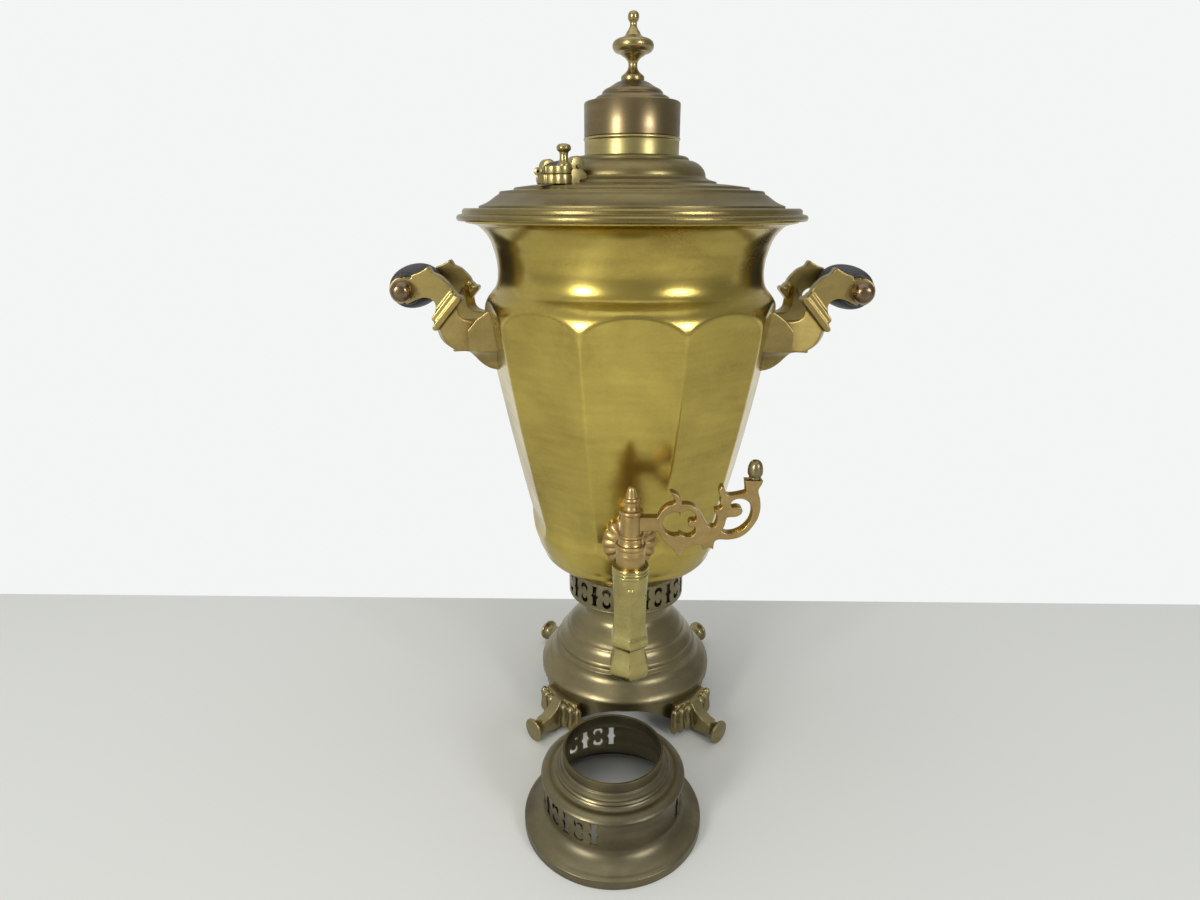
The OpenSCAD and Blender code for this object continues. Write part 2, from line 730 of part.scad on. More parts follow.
module horn(side, end) {
  head_r = 9.7;
  root_x = 23;
  root_t = 12;
  color([0.72, 0.6, 0.32])
    on_side(side)
      difference() {
        union() {
          // The head that holds the rod
          translate([grip_x, end * horn_y + horn_t / 2, grip_z])
            rotate([90, 0, 0])
              cylinder(r = head_r, h = horn_t);
          // The arm with the point on its back
          horn_slab(end, horn_t, [[0, head_r], [-7, 11.7], [-11.6, 12.8], [-15.7, 14.8],
            [-18.7, 16.7], [-20.1, 15], [-21.4, 12.6], [-23.8, 11.5], [-27.2, 9.8],
            [-29.7, 7.3], [-32.3, 4.7], [-33.9, 2.6], [-35.1, -0.3], [-36.5, -8],
            [-24, -27.5], [-21.8, -25.8], [-20.6, -23.2], [-20.4, -20.5], [-21.1, -17],
            [-22.1, -13.5], [-22.4, -9.9], [-21.5, -7.7], [-19.2, -5.7], [-16.5, -4.8],
            [-13, -4.8], [-9.4, -6], [-6.8, -7], [0, -head_r]]);
          // Two raised mouldings across it
          horn_slab(end, horn_t + 2.4, [[-37.4, -3], [-34.7, -0.7], [-19.5, -19.2],
            [-21.8, -21.2]]);
          horn_slab(end, horn_t + 4, [[-38.2, -3.6], [-40.8, -5.9], [-22.4, -27.6],
            [-19.7, -25.3]]);
          // The root that turns in to the plate
          translate([grip_x - root_x, end * (horn_y - 2), grip_z])
            rotate([0, 0, end * 26])
              translate([0, root_t / 2, 0])
                rotate([90, 0, 0])
                  linear_extrude(height = root_t)
                    polygon([[-10, -2], [-11.6, -8], [-12.6, -12.1], [-13.7, -18.4],
                      [-18.6, -21.6], [-26, -22.2], [-34, -22.4], [-34, -44], [-12, -44],
                      [-6.9, -41.3], [-3.4, -38.4], [-0.8, -34], [0.6, -29.4], [2, -24]]);
        }
        translate([grip_x, 0, grip_z])
          rotate([90, 0, 0])
            cylinder(r = rod_r + running_gap, h = 2 * horn_spread, center = true);
        // The root ends on the plate
        translate([0, horn_spread, 0])
          rotate([90, 0, 0])
            linear_extrude(height = 2 * horn_spread)
              polygon(concat([[60, grip_z - 16]], saddle_top,
                [[150, grip_z - 68], [60, grip_z - 68]]));
      }
}

module grip(side) {
  half = horn_y - horn_t / 2;
  color([0.05, 0.04, 0.05])
    on_side(side)
      translate([grip_x, 0, grip_z])
        rotate([90, 0, 0])
          difference() {
            rotate_extrude()
              polygon([[0, -half], [10.6, -half], [11.4, 3 - half], [14.6, -20],
                [grip_r, -8], [grip_r, 8], [14.6, 20], [11.4, half - 3], [10.6, half],
                [0, half]]);
            translate([0, 0, -half - 1])
              cylinder(r = rod_r + running_gap, h = 2 * half + 2);
          }
}

rod_half = horn_y + horn_t / 2 + 6;
module rod(side) {
  color([0.5, 0.42, 0.3])
    on_side(side)
      translate([grip_x, 0, grip_z])
        rotate([90, 0, 0])
          cylinder(r = rod_r, h = 2 * rod_half, center = true);
}

module rod_knobs(side) {
  seat = horn_y + horn_t / 2;
  color([0.5, 0.42, 0.3])
    on_side(side)
      for (end = [-1, 1])
        translate([grip_x, end * seat, grip_z])
          rotate([-end * 90, 0, 0])
            difference() {
              rotate_extrude()
                polygon([[0, 0], [8, 0], [8, 1.6], [6.6, 2.3], [6.8, 3.4], [rod_knob_r, 5.2],
                  [rod_knob_r - 0.3, 7], [rod_knob_r - 1.5, 8.6], [3.6, 9.7], [0, 10]]);
              translate([0, 0, -1])
                cylinder(r = rod_r + running_gap, h = 7.2);
            }
}

rosette_front_y = 87;
module tap_rosette() {
  flutes = 18;
  color([0.75, 0.64, 0.38])
    difference() {
      // Its middle lies a little under the tube
      translate([0, -rosette_front_y, tap_z - 2.4])
        rotate([-90, 0, 0])
          difference() {
            rotate_extrude()
              polygon([[0, 0], [rosette_r - 8, 0.2], [rosette_r - 2.4, 2.2], [rosette_r, 4],
                [rosette_r, 30], [0, 30]]);
            // Flutes spread from the tube like the ribs of a shell
            for (i = [0:flutes - 1])
              rotate([0, 0, (i + 0.5) * 360 / flutes])
                translate([0, -8.6, -0.7])
                  rotate([84, 0, 0])
                    cylinder(r = 2, h = 22, $fn = 24);
          }
      urn_form(0);
      translate([0, -150, tap_z])
        rotate([-90, 0, 0])
          cylinder(r = shank_r + running_gap, h = 100);
    }
}

barrel_top_z = 197.8;
barrel_foot_z = tap_z - 28;
module tap_barrel() {
  shank_end = 60;
  color([0.74, 0.58, 0.38])
    difference() {
      union() {
        translate([0, -tap_y, 0])
          revolve([[0, barrel_foot_z], [barrel_r, barrel_foot_z],
            [barrel_r, barrel_top_z - 3], [barrel_r + 0.6, barrel_top_z - 2.4],
            [barrel_r + 0.6, barrel_top_z - 0.8], [barrel_r - 0.4, barrel_top_z],
            [0, barrel_top_z]]);
        translate([0, -tap_y, tap_z])
          rotate([-90, 0, 0])
            cylinder(r = shank_r, h = tap_y - shank_end);
      }
      translate([0, -tap_y, 100])
        cylinder(r = plug_r + running_gap, h = 120);
      translate([0, -tap_y, tap_z])
        rotate([-90, 0, 0])
          cylinder(r = water_r, h = tap_y);
    }
}

// The spout is round at its top and six-sided below, with an edge to the front
module tap_spout() {
  bore_r = barrel_r + running_gap;
  z0 = spout_bottom_z;
  face_r = 10.9;
  arch_r = 6;
  arch_z = 167;
  color([0.74, 0.7, 0.42])
    translate([0, -tap_y, 0])
      difference() {
        revolve([[0, z0], [11.6, z0], [13.4, z0 + 3], [13.8, z0 + 7], [13.4, z0 + 11],
          [12.2, z0 + 16], [11, z0 + 19], [10.8, z0 + 21], [12.8, z0 + 23.6],
          [13.8, z0 + 27], [13.4, z0 + 31], [11.8, z0 + 34], [11.2, z0 + 38],
          [11, z0 + 46], [11.2, z0 + 54], [11.8, z0 + 62], [spout_r, z0 + 68],
          [spout_r, spout_top_z - 6.6], [spout_r + 0.4, spout_top_z - 6.1],
          [spout_r + 0.4, spout_top_z - 5.4], [spout_r - 0.2, spout_top_z - 4.6],
          [spout_r + 0.4, spout_top_z - 3.4], [spout_r + 0.4, spout_top_z - 2.8],
          [spout_r - 0.2, spout_top_z - 2], [spout_r + 0.4, spout_top_z - 0.9],
          [spout_r + 0.2, spout_top_z], [0, spout_top_z]]);
        // The six faces run out under arches
        for (i = [0:5])
          rotate([0, 0, i * 60]) {
            translate([face_r, -12, z0 - 5])
              cube([10, 24, arch_z - z0 + 2]);
            translate([face_r, 0, arch_z - 3])
              rotate([0, 90, 0])
                cylinder(r = arch_r + 3, h = 10);
          }
        translate([0, 0, barrel_foot_z])
          cylinder(r = bore_r, h = 60);
        translate([0, 0, z0 - 1])
          cylinder(r = 5.2, h = 100);
        // Saddle for the level tube
        translate([0, 0, tap_z])
          rotate([-90, 0, 0])
            cylinder(r = shank_r + running_gap, h = 40);
      }
}

nut_face_y = 69;
nut_t = 7;
module tap_washer() {
  lean = asin((bow_centre_z - tap_z) / facet_bow_r);
  color([0.3, 0.2, 0.15])
    difference() {
      translate([0, -nut_face_y, tap_z])
        rotate([90, 0, 0])
          cylinder(r = 12.5, h = 20);
      // The face against the wall leans as the facet does
      translate([0, -facet_r(tap_z) + urn_wall + 0.06, tap_z])
        rotate([lean, 0, 0])
          translate([-30, -60, -30])
            cube([60, 60, 60]);
      translate([0, 0, tap_z])
        rotate([90, 0, 0])
          cylinder(r = shank_r + running_gap, h = 110);
    }
}

module tap_nut() {
  color([0.6, 0.5, 0.3])
    translate([0, -nut_face_y, tap_z])
      rotate([-90, 0, 0])
        difference() {
          cylinder(r = 12, h = nut_t, $fn = 6);
          translate([0, 0, -1])
            cylinder(r = shank_r + running_gap, h = nut_t + 2);
        }
}

branch_bottom_z = 203;
branch_top_z = 218.6;
hub_r = 7;
stem_r = 4;
module tap_plug() {
  plug_foot_z = 160;
  color([0.74, 0.58, 0.38])
    translate([0, -tap_y, 0])
      difference() {
        revolve([[0, plug_foot_z], [plug_r, plug_foot_z], [plug_r, barrel_top_z],
          [barrel_r - 0.8, barrel_top_z + 0.1], [barrel_r - 0.6, barrel_top_z + 2],
          [hub_r, branch_bottom_z - 2], [hub_r, branch_bottom_z], [stem_r, branch_bottom_z],
          [stem_r, branch_top_z + 6], [0, branch_top_z + 6]]);
        translate([0, 0, plug_foot_z - 1])
          cylinder(r = water_r, h = tap_z + water_r - plug_foot_z + 1);
        // The side port faces left while the tap is shut
        translate([0, 0, tap_z])
          rotate([0, -90, 0])
            cylinder(r = water_r - 0.6, h = 20);
      }
}

// The scrolled key, drawn in the plane through the plug
module branch_plan() {
  ring_x = 31.5;
  ring_z = 212;
  loop_x = 66.6;
  loop_z = 219;
  cup_z = 243.6;
  difference() {
    union() {
      // Bar from the hub
      translate([0, 207.6])
        square([19, 9.8]);
      // First scroll
      difference() {
        union() {
          translate([ring_x, ring_z])
            circle(r = 14.6);
          // Curve over to the second scroll, and the foot cast under it
          polygon([[33, 226.6], [37.7, 226.6], [41.7, 225], [45, 221], [47.5, 216.6],
            [50.2, 212.2], [52.6, 210.7], [55, 211.2], [58.6, 212], [61, 204], [56.5, 201.9],
            [55, 199.9], [54.8, 195], [53.1, 195.9], [51.4, 196.3], [49.4, 194.9],
            [47.7, 195.2], [47.2, 197], [45.5, 198.8], [42.2, 197.3], [39, 197], [36, 198]]);
          // Leaf points above and below
          polygon([[33.6, 225], [31.8, 230.6], [30, 233.2], [27.6, 234.9], [24.6, 236],
            [24.8, 234.6], [27.6, 232.4], [29, 229.6], [29.6, 225]]);
          polygon([[34, 199], [33.4, 194], [32.6, 190.2], [30.6, 190.2], [29.6, 193],
            [27.4, 195.6], [24.6, 198]]);
        }
        difference() {
          union() {
            translate([29, 213])
              circle(r = 8.6);
            translate([37, 217.2])
              circle(r = 5.6);
            translate([37.5, 208.8])
              circle(r = 4.9);
          }
          // Bulb of the inner curl, and the cusp over it
          translate([40, 213.2])
            circle(r = 2.5);
          translate([40, 211.4])
            square([6, 3]);
          polygon([[30, 224], [34, 224], [31.7, 218.4]]);
        }
      }
      // Second scroll
      difference() {
        translate([loop_x, loop_z])
          circle(r = 17);
        translate([loop_x - 0.2, loop_z - 0.1])
          circle(r = 12.3);
        translate([45, loop_z - 10])
          square([16, 40]);
        translate([55, 234.6])
          square([25, 10]);
      }
      // Its leaf and inner curl
      polygon([[55, 211.2], [56.1, 219.8], [54.5, 221], [54.4, 223], [57.7, 223.9],
        [58.8, 225.5], [57.6, 227.3], [57.6, 229.8], [58.2, 231.1], [56.6, 234.2],
        [56.5, 237.6], [57.8, 239.5], [59.7, 239.5], [60.2, 236.8], [61.2, 234.4],
        [63.4, 234], [64.8, 231.6], [64.2, 227], [65, 224.6], [69, 224.6], [69, 218.6],
        [62.6, 217.9], [62, 216], [61.1, 212.2], [58.8, 208]]);
      translate([69, 221.6])
        circle(r = 3);
      // Stem and cup for the knob
      polygon([[72.6, cup_z - 0.8], [73.2, 237.6], [73.7, 234], [74, 231], [79, 226],
        [83.4, 228], [82.4, 233], [81.8, 238], [83.3, 240.6], [84.2, cup_z - 0.6],
        [83.6, cup_z], [73.2, cup_z]]);
    }
    translate([-20, 190])
      square([20, 40]);
  }
}

module tap_branch() {
  color([0.74, 0.58, 0.38])
    translate([0, -tap_y, 0])
      difference() {
        union() {
          translate([0, branch_t / 2, 0])
            rotate([90, 0, 0])
              linear_extrude(height = branch_t)
                branch_plan();
          translate([0, 0, branch_bottom_z])
            cylinder(r = hub_r, h = branch_top_z - branch_bottom_z);
        }
        translate([0, 0, 180])
          cylinder(r = stem_r + running_gap, h = 60);
      }
}

module tap_finial() {
  z0 = branch_top_z;
  color([0.74, 0.58, 0.38])
    translate([0, -tap_y, 0])
      difference() {
        revolve([[0, z0], [hub_r, z0], [8, z0 + 1], [8, z0 + 2.6], [5.6, z0 + 3.4],
          [4.6, z0 + 5], [4.3, z0 + 8.6], [5.3, z0 + 9.6], [5.3, z0 + 11],
          [3.9, z0 + 11.8], [3.4, z0 + 14], [2.6, z0 + 17], [2.2, z0 + 18.6],
          [0, z0 + 19.4]]);
        translate([0, 0, z0 - 1])
          cylinder(r = stem_r, h = 7.2);
      }
}

module branch_knob() {
  knob_x = 79.4;
  z0 = 243.6;
  color([0.52, 0.44, 0.28])
    translate([knob_x, -tap_y, 0])
      revolve([[0, z0], [2.6, z0], [4, z0 + 1.2], [4.8, z0 + 3.6], [4.9, z0 + 6.4],
        [4.5, z0 + 9.2], [3.5, z0 + 11.4], [2, z0 + 12.7], [0, z0 + 13.3]]);
}

body_shell();
top_ring();
fire_tube();
chimney_collar();
fire_grate();
neck_band();
base_bell();
base_apron();
foot(225);  // foot_front_left
foot(315);  // foot_front_right
foot(135);  // foot_back_left
foot(45);  // foot_back_right
lid_cover();
lid_brackets();
lid_grip();
lid_rod();
vent_base();
vent_pin();
vent_flap();
vent_knob();
cap_shell();
cap_finial();
crown_shell();
saddle(-1);  // saddle_left
saddle(1);  // saddle_right
horn(-1, -1);  // horn_left_front
horn(-1, 1);  // horn_left_back
horn(1, -1);  // horn_right_front
horn(1, 1);  // horn_right_back
grip(-1);  // grip_left
grip(1);  // grip_right
rod(-1);  // rod_left
rod(1);  // rod_right
rod_knobs(-1);  // rod_knobs_left
rod_knobs(1);  // rod_knobs_right
tap_rosette();
tap_barrel();
tap_spout();
tap_washer();
tap_nut();
tap_plug();
tap_branch();
tap_finial();
branch_knob();
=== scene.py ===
import bpy
import bmesh
import math
from mathutils import Matrix, Vector


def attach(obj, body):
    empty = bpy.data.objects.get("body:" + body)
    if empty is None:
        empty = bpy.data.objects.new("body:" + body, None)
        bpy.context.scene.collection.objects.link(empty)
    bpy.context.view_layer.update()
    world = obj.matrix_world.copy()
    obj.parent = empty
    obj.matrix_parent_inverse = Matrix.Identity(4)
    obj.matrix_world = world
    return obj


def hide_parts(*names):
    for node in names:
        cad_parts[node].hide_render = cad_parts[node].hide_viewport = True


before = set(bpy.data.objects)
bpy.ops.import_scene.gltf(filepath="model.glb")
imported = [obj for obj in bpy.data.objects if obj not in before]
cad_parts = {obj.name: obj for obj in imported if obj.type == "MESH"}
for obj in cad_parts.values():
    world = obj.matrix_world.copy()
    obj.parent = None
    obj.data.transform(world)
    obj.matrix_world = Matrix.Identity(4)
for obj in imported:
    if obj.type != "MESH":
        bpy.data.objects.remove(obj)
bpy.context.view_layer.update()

# ---------------------------------------------------------------------------
# The stage: a pale grey table top that ends a hand behind the urn, white beyond it, a
# window on the left, a smaller one on the right and soft light from above.
# ---------------------------------------------------------------------------
table_end_y = 0.152
table_grey = (0.66, 0.67, 0.65)
wall_white = (0.9, 0.915, 0.905)

floor_mesh = bpy.data.meshes.new("table_and_wall")
floor_mesh.from_pydata([(-14, -10, 0), (14, -10, 0), (14, 22, 0), (-14, 22, 0)], [], [(0, 1, 2, 3)])
table = bpy.data.objects.new("table_and_wall", floor_mesh)
bpy.context.scene.collection.objects.link(table)
paint = bpy.data.materials.new("table_and_wall")
paint.use_nodes = True
nodes, links = paint.node_tree.nodes, paint.node_tree.links
bsdf = nodes["Principled BSDF"]
bsdf.inputs["Roughness"].default_value = 0.55
bsdf.inputs["Specular IOR Level"].default_value = 0.25
place = nodes.new("ShaderNodeTexCoord")
split = nodes.new("ShaderNodeSeparateXYZ")
links.new(place.outputs["Object"], split.inputs[0])
beyond = nodes.new("ShaderNodeMath")
beyond.operation = "GREATER_THAN"
beyond.inputs[1].default_value = table_end_y
links.new(split.outputs["Y"], beyond.inputs[0])
mottle = nodes.new("ShaderNodeTexNoise")
mottle.inputs["Scale"].default_value = 2.2
mottle.inputs["Detail"].default_value = 3.0
links.new(place.outputs["Object"], mottle.inputs["Vector"])
top_tint = nodes.new("ShaderNodeMix")
top_tint.data_type = "RGBA"
top_tint.inputs[6].default_value = (*[c * 0.96 for c in table_grey], 1)
top_tint.inputs[7].default_value = (*table_grey, 1)
links.new(mottle.outputs["Fac"], top_tint.inputs[0])
where = nodes.new("ShaderNodeMix")
where.data_type = "RGBA"
where.inputs[7].default_value = (*wall_white, 1)
links.new(beyond.outputs[0], where.inputs[0])
links.new(top_tint.outputs[2], where.inputs[6])
links.new(where.outputs[2], bsdf.inputs["Base Color"])
# The wall shows as white to the eye and in the brass, without lighting the samovar more
rays = nodes.new("ShaderNodeLightPath")
seen = nodes.new("ShaderNodeMath")
seen.operation = "ADD"
seen.use_clamp = True
links.new(rays.outputs["Is Camera Ray"], seen.inputs[0])
links.new(rays.outputs["Is Glossy Ray"], seen.inputs[1])
seen_too = nodes.new("ShaderNodeMath")
seen_too.operation = "ADD"
seen_too.use_clamp = True
links.new(seen.outputs[0], seen_too.inputs[0])
links.new(rays.outputs["Is Transmission Ray"], seen_too.inputs[1])
glow = nodes.new("ShaderNodeEmission")
glow.inputs["Color"].default_value = (*wall_white, 1)
glow.inputs["Strength"].default_value = 1.0
on_wall = nodes.new("ShaderNodeMath")
on_wall.operation = "MULTIPLY"
links.new(seen_too.outputs[0], on_wall.inputs[0])
links.new(beyond.outputs[0], on_wall.inputs[1])
either = nodes.new("ShaderNodeMixShader")
links.new(on_wall.outputs[0], either.inputs[0])
links.new(bsdf.outputs[0], either.inputs[1])
links.new(glow.outputs[0], either.inputs[2])
links.new(either.outputs[0], nodes["Material Output"].inputs["Surface"])
floor_mesh.materials.append(paint)

world = bpy.data.worlds.new("room")
world.use_nodes = True
w_nodes, w_links = world.node_tree.nodes, world.node_tree.links
room = w_nodes["Background"]
room.inputs["Color"].default_value = (0.97, 0.98, 0.96, 1)
# The room is a little brighter on the left and behind, and dimmer in front
w_place = w_nodes.new("ShaderNodeTexCoord")
w_slope = w_nodes.new("ShaderNodeVectorMath")
w_slope.operation = "DOT_PRODUCT"
w_slope.inputs[1].default_value = (-0.2, 0.12, 0.05)
w_links.new(w_place.outputs["Generated"], w_slope.inputs[0])
w_level = w_nodes.new("ShaderNodeMath")
w_level.operation = "ADD"
w_level.inputs[1].default_value = 0.5
w_links.new(w_slope.outputs["Value"], w_level.inputs[0])
w_links.new(w_level.outputs[0], room.inputs["Strength"])
white = w_nodes.new("ShaderNodeBackground")
white.inputs["Color"].default_value = (*wall_white, 1)
white.inputs["Strength"].default_value = 1.0
w_rays = w_nodes.new("ShaderNodeLightPath")
w_mix = w_nodes.new("ShaderNodeMixShader")
w_links.new(w_rays.outputs["Is Camera Ray"], w_mix.inputs[0])
w_links.new(room.outputs[0], w_mix.inputs[1])
w_links.new(white.outputs[0], w_mix.inputs[2])
w_links.new(w_mix.outputs[0], w_nodes["World Output"].inputs["Surface"])
bpy.context.scene.world = world


def window(name, place, target, width, height, power, tint):
    """A soft rectangular daylight source that faces a point on the samovar."""
    lamp = bpy.data.lights.new(name, "AREA")
    lamp.shape = "RECTANGLE"
    lamp.size = width
    lamp.size_y = height
    lamp.energy = power
    lamp.color = tint
    holder = bpy.data.objects.new(name, lamp)
    holder.location = place
    holder.rotation_euler = (
        (Vector(target) - Vector(place)).to_track_quat("-Z", "Y").to_euler()
    )
    bpy.context.scene.collection.objects.link(holder)


window("window_left", (-1.35, -1.7, 0.9), (0, 0, 0.3), 0.45, 0.7, 26, (1.0, 0.99, 0.94))
window("window_right", (1.25, -1.5, 0.9), (0, 0, 0.3), 0.5, 0.5, 14, (0.98, 0.98, 1.0))
window("ceiling", (0, -0.3, 2.2), (0, 0, 0), 2.6, 2.2, 13, (1.0, 1.0, 1.0))

# The camera stands close, looks down on the tap side and sees the whole samovar.
focal_px, frame_px = 735, 1200
eye = (-0.01389, -0.56639, 0.40966)
pitch, yaw, roll = 0.317942, -0.014985, 0.001370
lens = bpy.data.cameras.new("camera")
lens.sensor_fit = "HORIZONTAL"
lens.sensor_width = 36
lens.lens = focal_px / frame_px * 36
lens.clip_start = 0.01
forward = Vector(
    (math.sin(yaw) * math.cos(pitch), math.cos(yaw) * math.cos(pitch), -math.sin(pitch))
)
right = Vector((math.cos(yaw), -math.sin(yaw), 0))
up = right.cross(forward)
side = math.cos(roll) * right + math.sin(roll) * up
top = -math.sin(roll) * right + math.cos(roll) * up
camera = bpy.data.objects.new("camera", lens)
camera.matrix_world = Matrix(
    (
        (side.x, top.x, -forward.x, eye[0]), (side.y, top.y, -forward.y, eye[1]),
        (side.z, top.z, -forward.z, eye[2]), (0, 0, 0, 1),
    )
)
bpy.context.scene.collection.objects.link(camera)
bpy.context.scene.camera = camera
bpy.context.scene.view_settings.view_transform = "Standard"

# ---------------------------------------------------------------------------
# The four feet: brass castings, each a leg that falls to a flared round end, with a
# shell of three ribs on each side. They are riveted to the skirt of the base.
# ---------------------------------------------------------------------------


def group_of(name, inputs, outputs):
    """An empty shader node group with the given sockets, with its own input and output nodes."""
    group = bpy.data.node_groups.new(name, "ShaderNodeTree")
    for label, kind, value in inputs:
        socket = group.interface.new_socket(label, in_out="INPUT", socket_type=kind)
        socket.default_value = value
    for label, kind in outputs:
        group.interface.new_socket(label, in_out="OUTPUT", socket_type=kind)
    return group, group.nodes.new("NodeGroupInput"), group.nodes.new("NodeGroupOutput")


def add(group, kind, **values):
    """A node in a group, with its settings and unlinked inputs given by name."""
    node = group.nodes.new(kind)
    for key, value in values.items():
        if hasattr(node, key):
            setattr(node, key, value)
        else:
            node.inputs[key.replace("_", " ")].default_value = value
    return node


def sum_of(group, what, a, b, c=None, operation="MULTIPLY_ADD", clamp=False):
    """A sum of sockets or plain numbers in a group; what is the label of the node."""
    node = add(group, "ShaderNodeMath", operation=operation, use_clamp=clamp, label=what)
    for slot, value in enumerate((a, b, c)):
        if value is None:
            continue
        if isinstance(value, (int, float)):
            node.inputs[slot].default_value = value
        else:
            group.links.new(value, node.inputs[slot])
    return node.outputs[0]


# Tarnish on old brass: broad clouds, specks, and marks left by rubbing round the piece
tarnish, t_in, t_out = group_of(
    "brass_tarnish",
    [
        ("Clean", "NodeSocketColor", (0.7, 0.58, 0.25, 1)),
        ("Tarnished", "NodeSocketColor", (0.3, 0.22, 0.1, 1)),
        ("Amount", "NodeSocketFloat", 0.4),
        ("Cloud Size", "NodeSocketFloat", 12.0),
        ("Rubbing", "NodeSocketFloat", 0.2),
        ("Smooth", "NodeSocketFloat", 0.25),
        ("Dull", "NodeSocketFloat", 0.5),
    ],
    [("Color", "NodeSocketColor"), ("Roughness", "NodeSocketFloat"), ("Height", "NodeSocketFloat")],
)
t_place = add(tarnish, "ShaderNodeTexCoord")
t_cloud = add(tarnish, "ShaderNodeTexNoise", Detail=5.0, Roughness=0.62, Distortion=0.5)
tarnish.links.new(t_place.outputs["Object"], t_cloud.inputs["Vector"])
tarnish.links.new(t_in.outputs["Cloud Size"], t_cloud.inputs["Scale"])
t_speck = add(tarnish, "ShaderNodeTexNoise", Scale=520.0, Detail=4.0, Roughness=0.7)
tarnish.links.new(t_place.outputs["Object"], t_speck.inputs["Vector"])
t_long = add(tarnish, "ShaderNodeVectorMath", operation="MULTIPLY")
t_long.inputs[1].default_value = (22.0, 22.0, 190.0)
tarnish.links.new(t_place.outputs["Object"], t_long.inputs[0])
t_rub = add(tarnish, "ShaderNodeTexNoise", Scale=1.0, Detail=3.0, Roughness=0.55)
tarnish.links.new(t_long.outputs[0], t_rub.inputs["Vector"])
t_sum = sum_of(tarnish, "cloud and speck", t_speck.outputs["Fac"], 0.2, t_cloud.outputs["Fac"])
t_mask = add(tarnish, "ShaderNodeMapRange")
t_mask.inputs["From Min"].default_value = 0.44
t_mask.inputs["From Max"].default_value = 0.78
tarnish.links.new(t_sum, t_mask.inputs["Value"])
t_spread = sum_of(tarnish, "spread", t_mask.outputs["Result"], 0.62, t_in.outputs["Amount"])
t_rubbed = sum_of(tarnish, "rubbed", t_rub.outputs["Fac"], -0.5, operation="ADD")
t_less = sum_of(tarnish, "less where rubbed", t_rubbed, t_in.outputs["Rubbing"], operation="MULTIPLY")
t_less_twice = sum_of(tarnish, "weight", t_less, -2.4, t_spread)
t_cut = sum_of(tarnish, "base", t_less_twice, 0.32, operation="SUBTRACT", clamp=True)
t_color = add(tarnish, "ShaderNodeMix", data_type="RGBA")
tarnish.links.new(t_cut, t_color.inputs[0])
tarnish.links.new(t_in.outputs["Clean"], t_color.inputs[6])
tarnish.links.new(t_in.outputs["Tarnished"], t_color.inputs[7])
tarnish.links.new(t_color.outputs[2], t_out.inputs["Color"])
t_rough = add(tarnish, "ShaderNodeMix", data_type="FLOAT")
tarnish.links.new(t_cut, t_rough.inputs[0])
tarnish.links.new(t_in.outputs["Smooth"], t_rough.inputs[2])
tarnish.links.new(t_in.outputs["Dull"], t_rough.inputs[3])
tarnish.links.new(t_rough.outputs[0], t_out.inputs["Roughness"])
tarnish.links.new(t_sum, t_out.inputs["Height"])

# Fine lines that the spinning tool leaves round sheet that was turned on the urn's axis
spun, s_in, s_out = group_of(
    "spinning_lines",
    [("Skin Height", "NodeSocketFloat", 0.0), ("Depth", "NodeSocketFloat", 0.5)],
    [("Height", "NodeSocketFloat")],
)
s_place = add(spun, "ShaderNodeTexCoord")
s_split = add(spun, "ShaderNodeSeparateXYZ")
spun.links.new(s_place.outputs["Object"], s_split.inputs[0])
s_flat = add(spun, "ShaderNodeCombineXYZ")
spun.links.new(s_split.outputs["X"], s_flat.inputs["X"])
spun.links.new(s_split.outputs["Y"], s_flat.inputs["Y"])
s_radius = add(spun, "ShaderNodeVectorMath", operation="LENGTH")
spun.links.new(s_flat.outputs[0], s_radius.inputs[0])
s_line = add(spun, "ShaderNodeCombineXYZ")
spun.links.new(s_radius.outputs["Value"], s_line.inputs["X"])
spun.links.new(s_split.outputs["Z"], s_line.inputs["Y"])
s_noise = add(spun, "ShaderNodeTexNoise", Scale=950.0, Detail=2.0, Roughness=0.6)
spun.links.new(s_line.outputs[0], s_noise.inputs["Vector"])
s_sum = sum_of(
    spun, "lines on skin", s_noise.outputs["Fac"], s_in.outputs["Depth"], s_in.outputs["Skin Height"]
)
spun.links.new(s_sum, s_out.inputs["Height"])


def old_brass(name, clean, tarnished, amount, cloud, rubbing, smooth, dull, bump=0.03, lines=0.0):
    """Brass of one kind of piece, placed from the shared groups with its own values."""
    metal = bpy.data.materials.new(name)
    metal.use_nodes = True
    tree = metal.node_tree
    shader = tree.nodes["Principled BSDF"]
    shader.inputs["Metallic"].default_value = 1.0
    skin = tree.nodes.new("ShaderNodeGroup")
    skin.node_tree = tarnish
    skin.inputs["Clean"].default_value = (*clean, 1)
    skin.inputs["Tarnished"].default_value = (*tarnished, 1)
    skin.inputs["Amount"].default_value = amount
    skin.inputs["Cloud Size"].default_value = cloud
    skin.inputs["Rubbing"].default_value = rubbing
    skin.inputs["Smooth"].default_value = smooth
    skin.inputs["Dull"].default_value = dull
    tree.links.new(skin.outputs["Color"], shader.inputs["Base Color"])
    tree.links.new(skin.outputs["Roughness"], shader.inputs["Roughness"])
    turning = tree.nodes.new("ShaderNodeGroup")
    turning.node_tree = spun
    turning.inputs["Depth"].default_value = lines
    tree.links.new(skin.outputs["Height"], turning.inputs["Skin Height"])
    relief = tree.nodes.new("ShaderNodeBump")
    relief.inputs["Strength"].default_value = bump
    relief.inputs["Distance"].default_value = 0.001
    tree.links.new(turning.outputs["Height"], relief.inputs["Height"])
    tree.links.new(relief.outputs["Normal"], shader.inputs["Normal"])
    return metal


